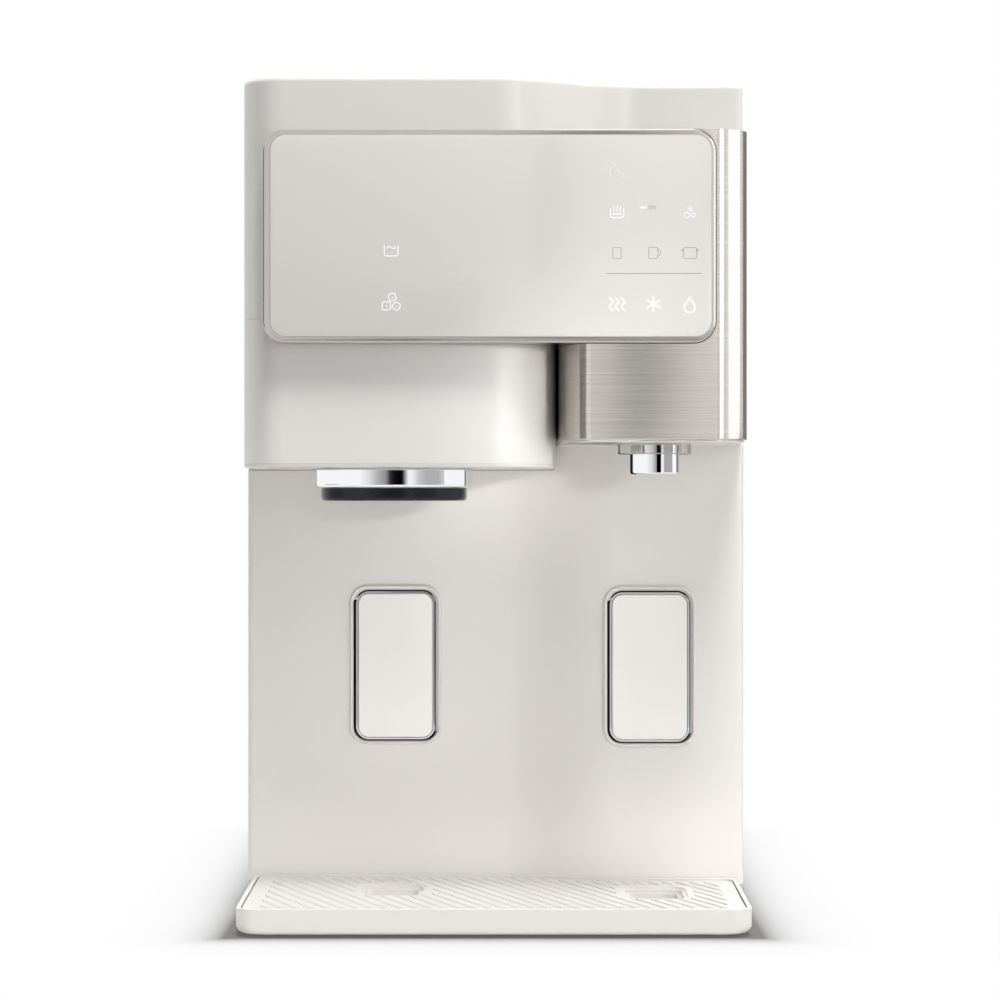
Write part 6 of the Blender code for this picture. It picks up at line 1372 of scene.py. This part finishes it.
# %% Left column: a tub of water and three ice cubes
white, grey, pale = [], [], []
white.append(tub(384.3, 397.9, 245.6, 256, 2.6, 1.35))
ripple = ((386.3, 248.4), (389.2, 246.6), (393.6, 248.5), (396, 247))
white.append(stroke([ripple[0]] + [p for a, b in zip(ripple, ripple[1:]) for p in s_curve(a, b, 8)[1:]], 1.1))
for px, py, size, tilt in ((386.4, 305.9, 8.2, 0), (392.2, 297, 7.2, -20), (396.3, 306.1, 7.0, 28)):
    white.append(stroke(turned_square(px, py, size, 2.2, tilt), 1.35, True))
    white.append(patch(turned_square(px + 0.3, py + 0.2, size * 0.22, 0.5, tilt + 30)))

# %% Right columns: drop in a ring, hot tub, light bar and ice
pale.append(stroke(arc(616.9, 172.2, 7, 7, -75, -355, 44), 1.2))
pale.append(stroke(drop(617, 172.3, 6.4), 0.9, True))
white.append(tub(610.6, 623.6, 208.4, 217.6, 2.4, 1.5))
white.append(bar(617.1, 214.2, 9.6, 1.9))
for px in (613.9, 617.1, 620.3):
    white.append(wave(px, 205.8, 211.8, 0.6, 1.0))
white.append(bar(643.2, 207.5, 7.2, 2.4))
grey.append(stroke(arc(650.0, 207.2, 1.5, 1.7, 0, 360, 24)[:-1], 0.5, True))
grey.append(stroke([(652.8, 208.9), (652.8, 205.6), (655.0, 208.9), (655.0, 205.6)], 0.5))
white.append(star(690.2, 209.2, 3.3, 0.9))
white.append(ring(686.9, 215.2, 2.6, 1.4))
white.append(ring(693.2, 215.1, 2.0, 1.3))

# %% A glass, a mug, a pot and the line under them
FINE_LINE = 0.65
for left, right, radius in ((612.8, 621.2, 1.3), (648.6, 657.8, 1.3), (683.4, 696.6, 1.6)):
    grey.append(stroke(rounded(left, right, 247.4, 258.6, radius, 4), FINE_LINE, True))
grey.append(stroke([(657.9, 249)] + arc(657.6, 252.6, 2.9, 3.5, -70, 70, 8) + [(657.9, 256.2)], FINE_LINE))
grey.append(stroke([(683.3, 248.9), (681.4, 250.2), (683.3, 251.6)], FINE_LINE))
grey.append(stroke([(696.7, 248.9), (698.6, 250.2), (696.7, 251.6)], FINE_LINE))
grey.append(bar(653.6, 273.4, 96, 0.8))

# %% Steam, snowflake and drop: hot, cold and plain water
for px in (611.2, 617.1, 623):
    pale.append(wave(px, 297.2, 311.2, 1.7, 2.1))
pale.append(star(653.3, 304, 8.4, 2.0))
pale.append(stroke(drop(689.7, 305.2, 15), 2.2, True))
for name, shapes, look in (("symbols_white", white, SCREEN_PRINT), ("symbols_grey", grey, SCREEN_PRINT_GREY),
                           ("symbols_pale", pale, SCREEN_PRINT_PALE)):
    piece(name, joined(*shapes), look, edge=0.0)

# %% [markdown]
# ## Studio
#
# The photograph is a product shot on white. The world is white to the camera and in reflections and
# softer as light. A tall strip and a broad softbox stand on the right, and one softbox hangs above.
# Fills that no mirror shows lift the front, the two bays, the foot of the wall and the low left side,
# and a narrow spot lights the ice housing's right end.

# %% World
world = bpy.data.worlds.new("white_studio")
bpy.context.scene.world = world
world.use_nodes = True
tree = world.node_tree
tree.nodes.clear()
WORLD_LIGHT = 0.41


def seen_by_eye(tree):
    """1 where the camera sees a surface directly, in a mirror or through glass, and else 0."""
    rays = node(tree, "ShaderNodeLightPath").outputs
    direct = maths(tree, "MAXIMUM", rays["Is Camera Ray"], rays["Is Glossy Ray"])
    return maths(tree, "MAXIMUM", direct, rays["Is Transmission Ray"])


sky = node(tree, "ShaderNodeBackground", {
    "Color": (1, 1, 1, 1), "Strength": ranged(tree, seen_by_eye(tree), WORLD_LIGHT, 1.0)})
node(tree, "ShaderNodeOutputWorld", {"Surface": sky.outputs[0]})

# %% Softboxes
AIM = (0, -0.15, 0.24)


def softbox(name, place, size, brightness, aim=AIM, spread=180, mirrored=True):
    """An area lamp turned to the machine. Brightness 1 is as bright as the white background."""
    lamp = bpy.data.lights.new(name, "AREA")
    lamp.shape = "RECTANGLE"
    lamp.size, lamp.size_y = size
    lamp.energy = brightness * math.pi * size[0] * size[1]
    lamp.spread = math.radians(spread)
    made = bpy.data.objects.new(name, lamp)
    made.location = place
    made.rotation_euler = (Vector(aim) - Vector(place)).to_track_quat("-Z", "Y").to_euler()
    made.visible_camera = False
    made.visible_glossy = mirrored
    bpy.context.scene.collection.objects.link(made)
    print(name, round(lamp.energy, 1), "W")


softbox("strip_right", (0.98, -1.71, 0.62), (0.30, 1.2), 3.0)
softbox("softbox_side", (1.56, -0.53, 0.75), (1.4, 1.5), 0.94)
softbox("softbox_top", (0.1, 0.35, 1.9), (1.4, 1.0), 2.2)
softbox("fill_front", (0.7, -2.15, 0.35), (1.8, 0.9), 0.75, mirrored=False)
softbox("fill_bays", (0.15, -0.85, 1.8), (0.9, 0.5), 1.0, (0, -0.18, 0.0), 24, False)
softbox("fill_low", (0.0, -0.45, 0.012), (0.5, 0.1), 0.25, (0, -0.1, 0.25), 32, False)
softbox("fill_walls", (-0.03, -0.45, 0.012), (0.25, 0.1), 0.43, (-0.02, -0.1, 0.17), 44, False)
softbox("fill_foot", (-0.01, -0.9, 0.22), (0.45, 0.05), 0.5, (-0.01, -0.11, 0.07), 20, False)
softbox("fill_wall_foot", (0, -0.5, 0.3), (0.3, 0.02), 0.55, (0, -0.11, 0.025), 10, False)
softbox("fill_left", (-1.3, 0.35, 0.2), (0.9, 0.3), 4.0, (0, 0, 0.25), 170, False)
softbox("spot_ice_end", (0.62, -1.30, 0.42), (0.1, 0.1), 0.68, (0.04, -0.2, 0.30), 7, False)

# %% [markdown]
# The floor is white paper that the camera sees as pure white further out. Round the machine's foot the
# paper is painted a darker grey over a few centimetres: a painted shadow, added to the shadow that the
# lamps really cast there.

# %% Floor
FLOOR_FADE = 15 * MM
FLOOR_LIFT = 0.09
FLOOR_REACH = 8


def stage_sheet(name, corners, look):
    mesh = bpy.data.meshes.new(name)
    mesh.from_pydata(corners, [], [(0, 1, 2, 3)])
    made = bpy.data.objects.new(name, mesh)
    mesh.materials.append(look)
    bpy.context.scene.collection.objects.link(made)
    made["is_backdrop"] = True
    return made


def bare_material(name):
    made = bpy.data.materials.new(name)
    made.use_nodes = True
    made.node_tree.nodes.clear()
    return made, made.node_tree


def glow(tree, light=(1, 1, 1, 1), strength=1.0):
    return node(tree, "ShaderNodeEmission", {"Color": light, "Strength": strength}).outputs[0]


def vector_maths(tree, operation, *values, output="Vector"):
    return node(tree, "ShaderNodeVectorMath", dict(enumerate(values)), operation=operation).outputs[output]


floor_look, tree = bare_material("white_sweep")
middle = [(a + b) / 2 for a, b in zip(cad_low, cad_high)]
half = [(b - a) / 2 for a, b in zip(cad_low, cad_high)]
folded = vector_maths(tree, "ABSOLUTE", vector_maths(tree, "SUBTRACT", object_place(tree), (*middle[:2], 0)))
beyond = vector_maths(tree, "MAXIMUM", vector_maths(tree, "SUBTRACT", folded, (*half[:2], 0)), (0, 0, 0))
far = vector_maths(tree, "LENGTH", beyond, output="Value")
share = maths(tree, "SUBTRACT", 1.0, maths(tree, "EXPONENT", maths(tree, "MULTIPLY", far, -1 / FLOOR_FADE)))
eye = seen_by_eye(tree)
# Painted shadow: to the camera and in mirrors the paper is painted darker the nearer it lies to the machine's
# foot; bounced light sees a plain pale grey.
shade = blend(tree, eye, "#BEBEBE", blend(tree, share, "#656361", "#A0A0A0"))
paper = node(tree, "ShaderNodeBsdfDiffuse", {"Color": shade})
paper = node(tree, "ShaderNodeAddShader", {0: paper.outputs[0], 1: glow(tree, strength=FLOOR_LIFT)})
mixed = node(tree, "ShaderNodeMixShader", {
    0: maths(tree, "MULTIPLY", share, eye), 1: paper.outputs[0], 2: glow(tree)})
node(tree, "ShaderNodeOutputMaterial", {"Surface": mixed.outputs[0]})
stage_sheet("floor", [(-FLOOR_REACH, -FLOOR_REACH, 0), (FLOOR_REACH, -FLOOR_REACH, 0),
                      (FLOOR_REACH, FLOOR_REACH, 0), (-FLOOR_REACH, FLOOR_REACH, 0)], floor_look)

# %% [markdown]
# Chrome has no colour of its own: it looks like what stands round it. A photographer shapes it with
# boards. A long board by the camera runs from white through grey to black and back, which the chute's
# ring shows as its vertical bands. A graded card, a white one and a small black flag stand close to
# the tap. The covers' curved ends mirror dark flags on the left and a grey one behind on the right.
# The greys are plain steps, given one by one.

# %% Boards that only reflections see
BOARD_Y = -1.5
LOW_STOPS = ((-0.40, 0.95), (-0.25, 0.75), (-0.12, 0.3), (-0.11, 0.0), (-0.07, 0.0), (-0.03, 0.95),
             (0.0, 0.95), (0.1, 0.6), (0.25, 0.45), (0.6, 0.45), (1.6, 0.95))
HIGH_STOPS = ((-0.02, 1.0), (0.055, 1.0), (0.066, 0.30), (0.08, 0.02), (0.112, 0.02), (0.137, 0.35),
              (0.178, 0.90), (0.22, 1.3), (0.45, 1.3))
BOARD_FOOT, BOARD_SEAM, BOARD_HEAD = -0.2, 0.29, 0.95


def reflection_board(name, corners, look, blocks_light=False, through_clear=True):
    sheet = stage_sheet(name, corners, look)
    sheet.visible_camera = False
    sheet.visible_diffuse = blocks_light
    sheet.visible_transmission = through_clear
    sheet.visible_shadow = False


def graded_board(name, board_stops, low, high, y=BOARD_Y):
    """A board whose grey changes from left to right by the given stops."""
    look, board_tree = bare_material(name)
    first, last = board_stops[0][0], board_stops[-1][0]
    place = node(board_tree, "ShaderNodeSeparateXYZ", {0: object_place(board_tree)})
    along = node(board_tree, "ShaderNodeMapRange", {
        "Value": place.outputs["X"], "From Min": first, "From Max": last})
    ramp = node(board_tree, "ShaderNodeValToRGB", {0: along.outputs[0]})
    stops = ramp.color_ramp.elements
    while len(stops) < len(board_stops):
        stops.new(0.5)
    for stop, (x, grey) in zip(stops, board_stops):
        stop.position = (x - first) / (last - first)
        stop.color = (grey, grey, grey, 1)
    node(board_tree, "ShaderNodeOutputMaterial", {"Surface": glow(board_tree, ramp.outputs[0])})
    reflection_board(name, [(first, y, low), (last, y, low), (last, y, high), (first, y, high)], look)


def plain_board(name, grey, start, end, low, high, blocks_light=False, through_clear=True):
    """An upright board of one grey between two places in plan."""
    look, board_tree = bare_material(name)
    node(board_tree, "ShaderNodeOutputMaterial", {"Surface": glow(board_tree, (grey, grey, grey, 1))})
    corners = [(*start, low), (*end, low), (*end, high), (*start, high)]
    reflection_board(name, corners, look, blocks_light, through_clear)


graded_board("board_low", LOW_STOPS, BOARD_FOOT, BOARD_SEAM)
graded_board("board_high", HIGH_STOPS, BOARD_SEAM, BOARD_HEAD)

TAP_STOPS = ((-0.040, 0.95), (-0.015, 0.75), (0.005, 0.3), (0.006, 0.0), (0.026, 0.0), (0.027, 0.95),
             (0.040, 0.95), (0.050, 0.4), (0.100, 0.4))
TAP_BAND = (0.225, 0.278)
LEFT_BANDS = ((-0.1, 0.236), (0.29, 0.9))
graded_board("card_tap", [(tap_x + x, grey) for x, grey in TAP_STOPS], *TAP_BAND, tap_y - 60 * MM)
plain_board("card_tap_right", 0.42, (tap_x + 0.1, tap_y - 0.06), (tap_x + 0.1, tap_y - 0.008), *TAP_BAND)
plain_board("card_between", 1.0, (0.052, -0.30), (0.052, -0.165), *TAP_BAND, through_clear=False)
plain_board("flag_tap_left", 0.015, (tap_x - 0.052, tap_y + 0.02), (tap_x - 0.010, tap_y + 0.02), *TAP_BAND,
            through_clear=False)
for low, high in LEFT_BANDS:
    plain_board("flag_left", 0.04, (-1.5, -1.25), (-1.5, -0.3), low, high, True)
    plain_board("flag_left_wide", 0.04, (-1.52, -1.5), (-1.52, -0.12), low, high)
plain_board("flag_rear_right", 0.25, (1.45, 0.55), (0.54, 1.25), -0.1, 0.9)

# %% Close the frame
bpy.context.scene.view_settings.view_transform = "Standard"
low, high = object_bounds()
{"cad": [list(cad_low), list(cad_high)], "visual": [list(low), list(high)]}
print("visual box in mm:", [round(v / MM, 1) for v in high - low])
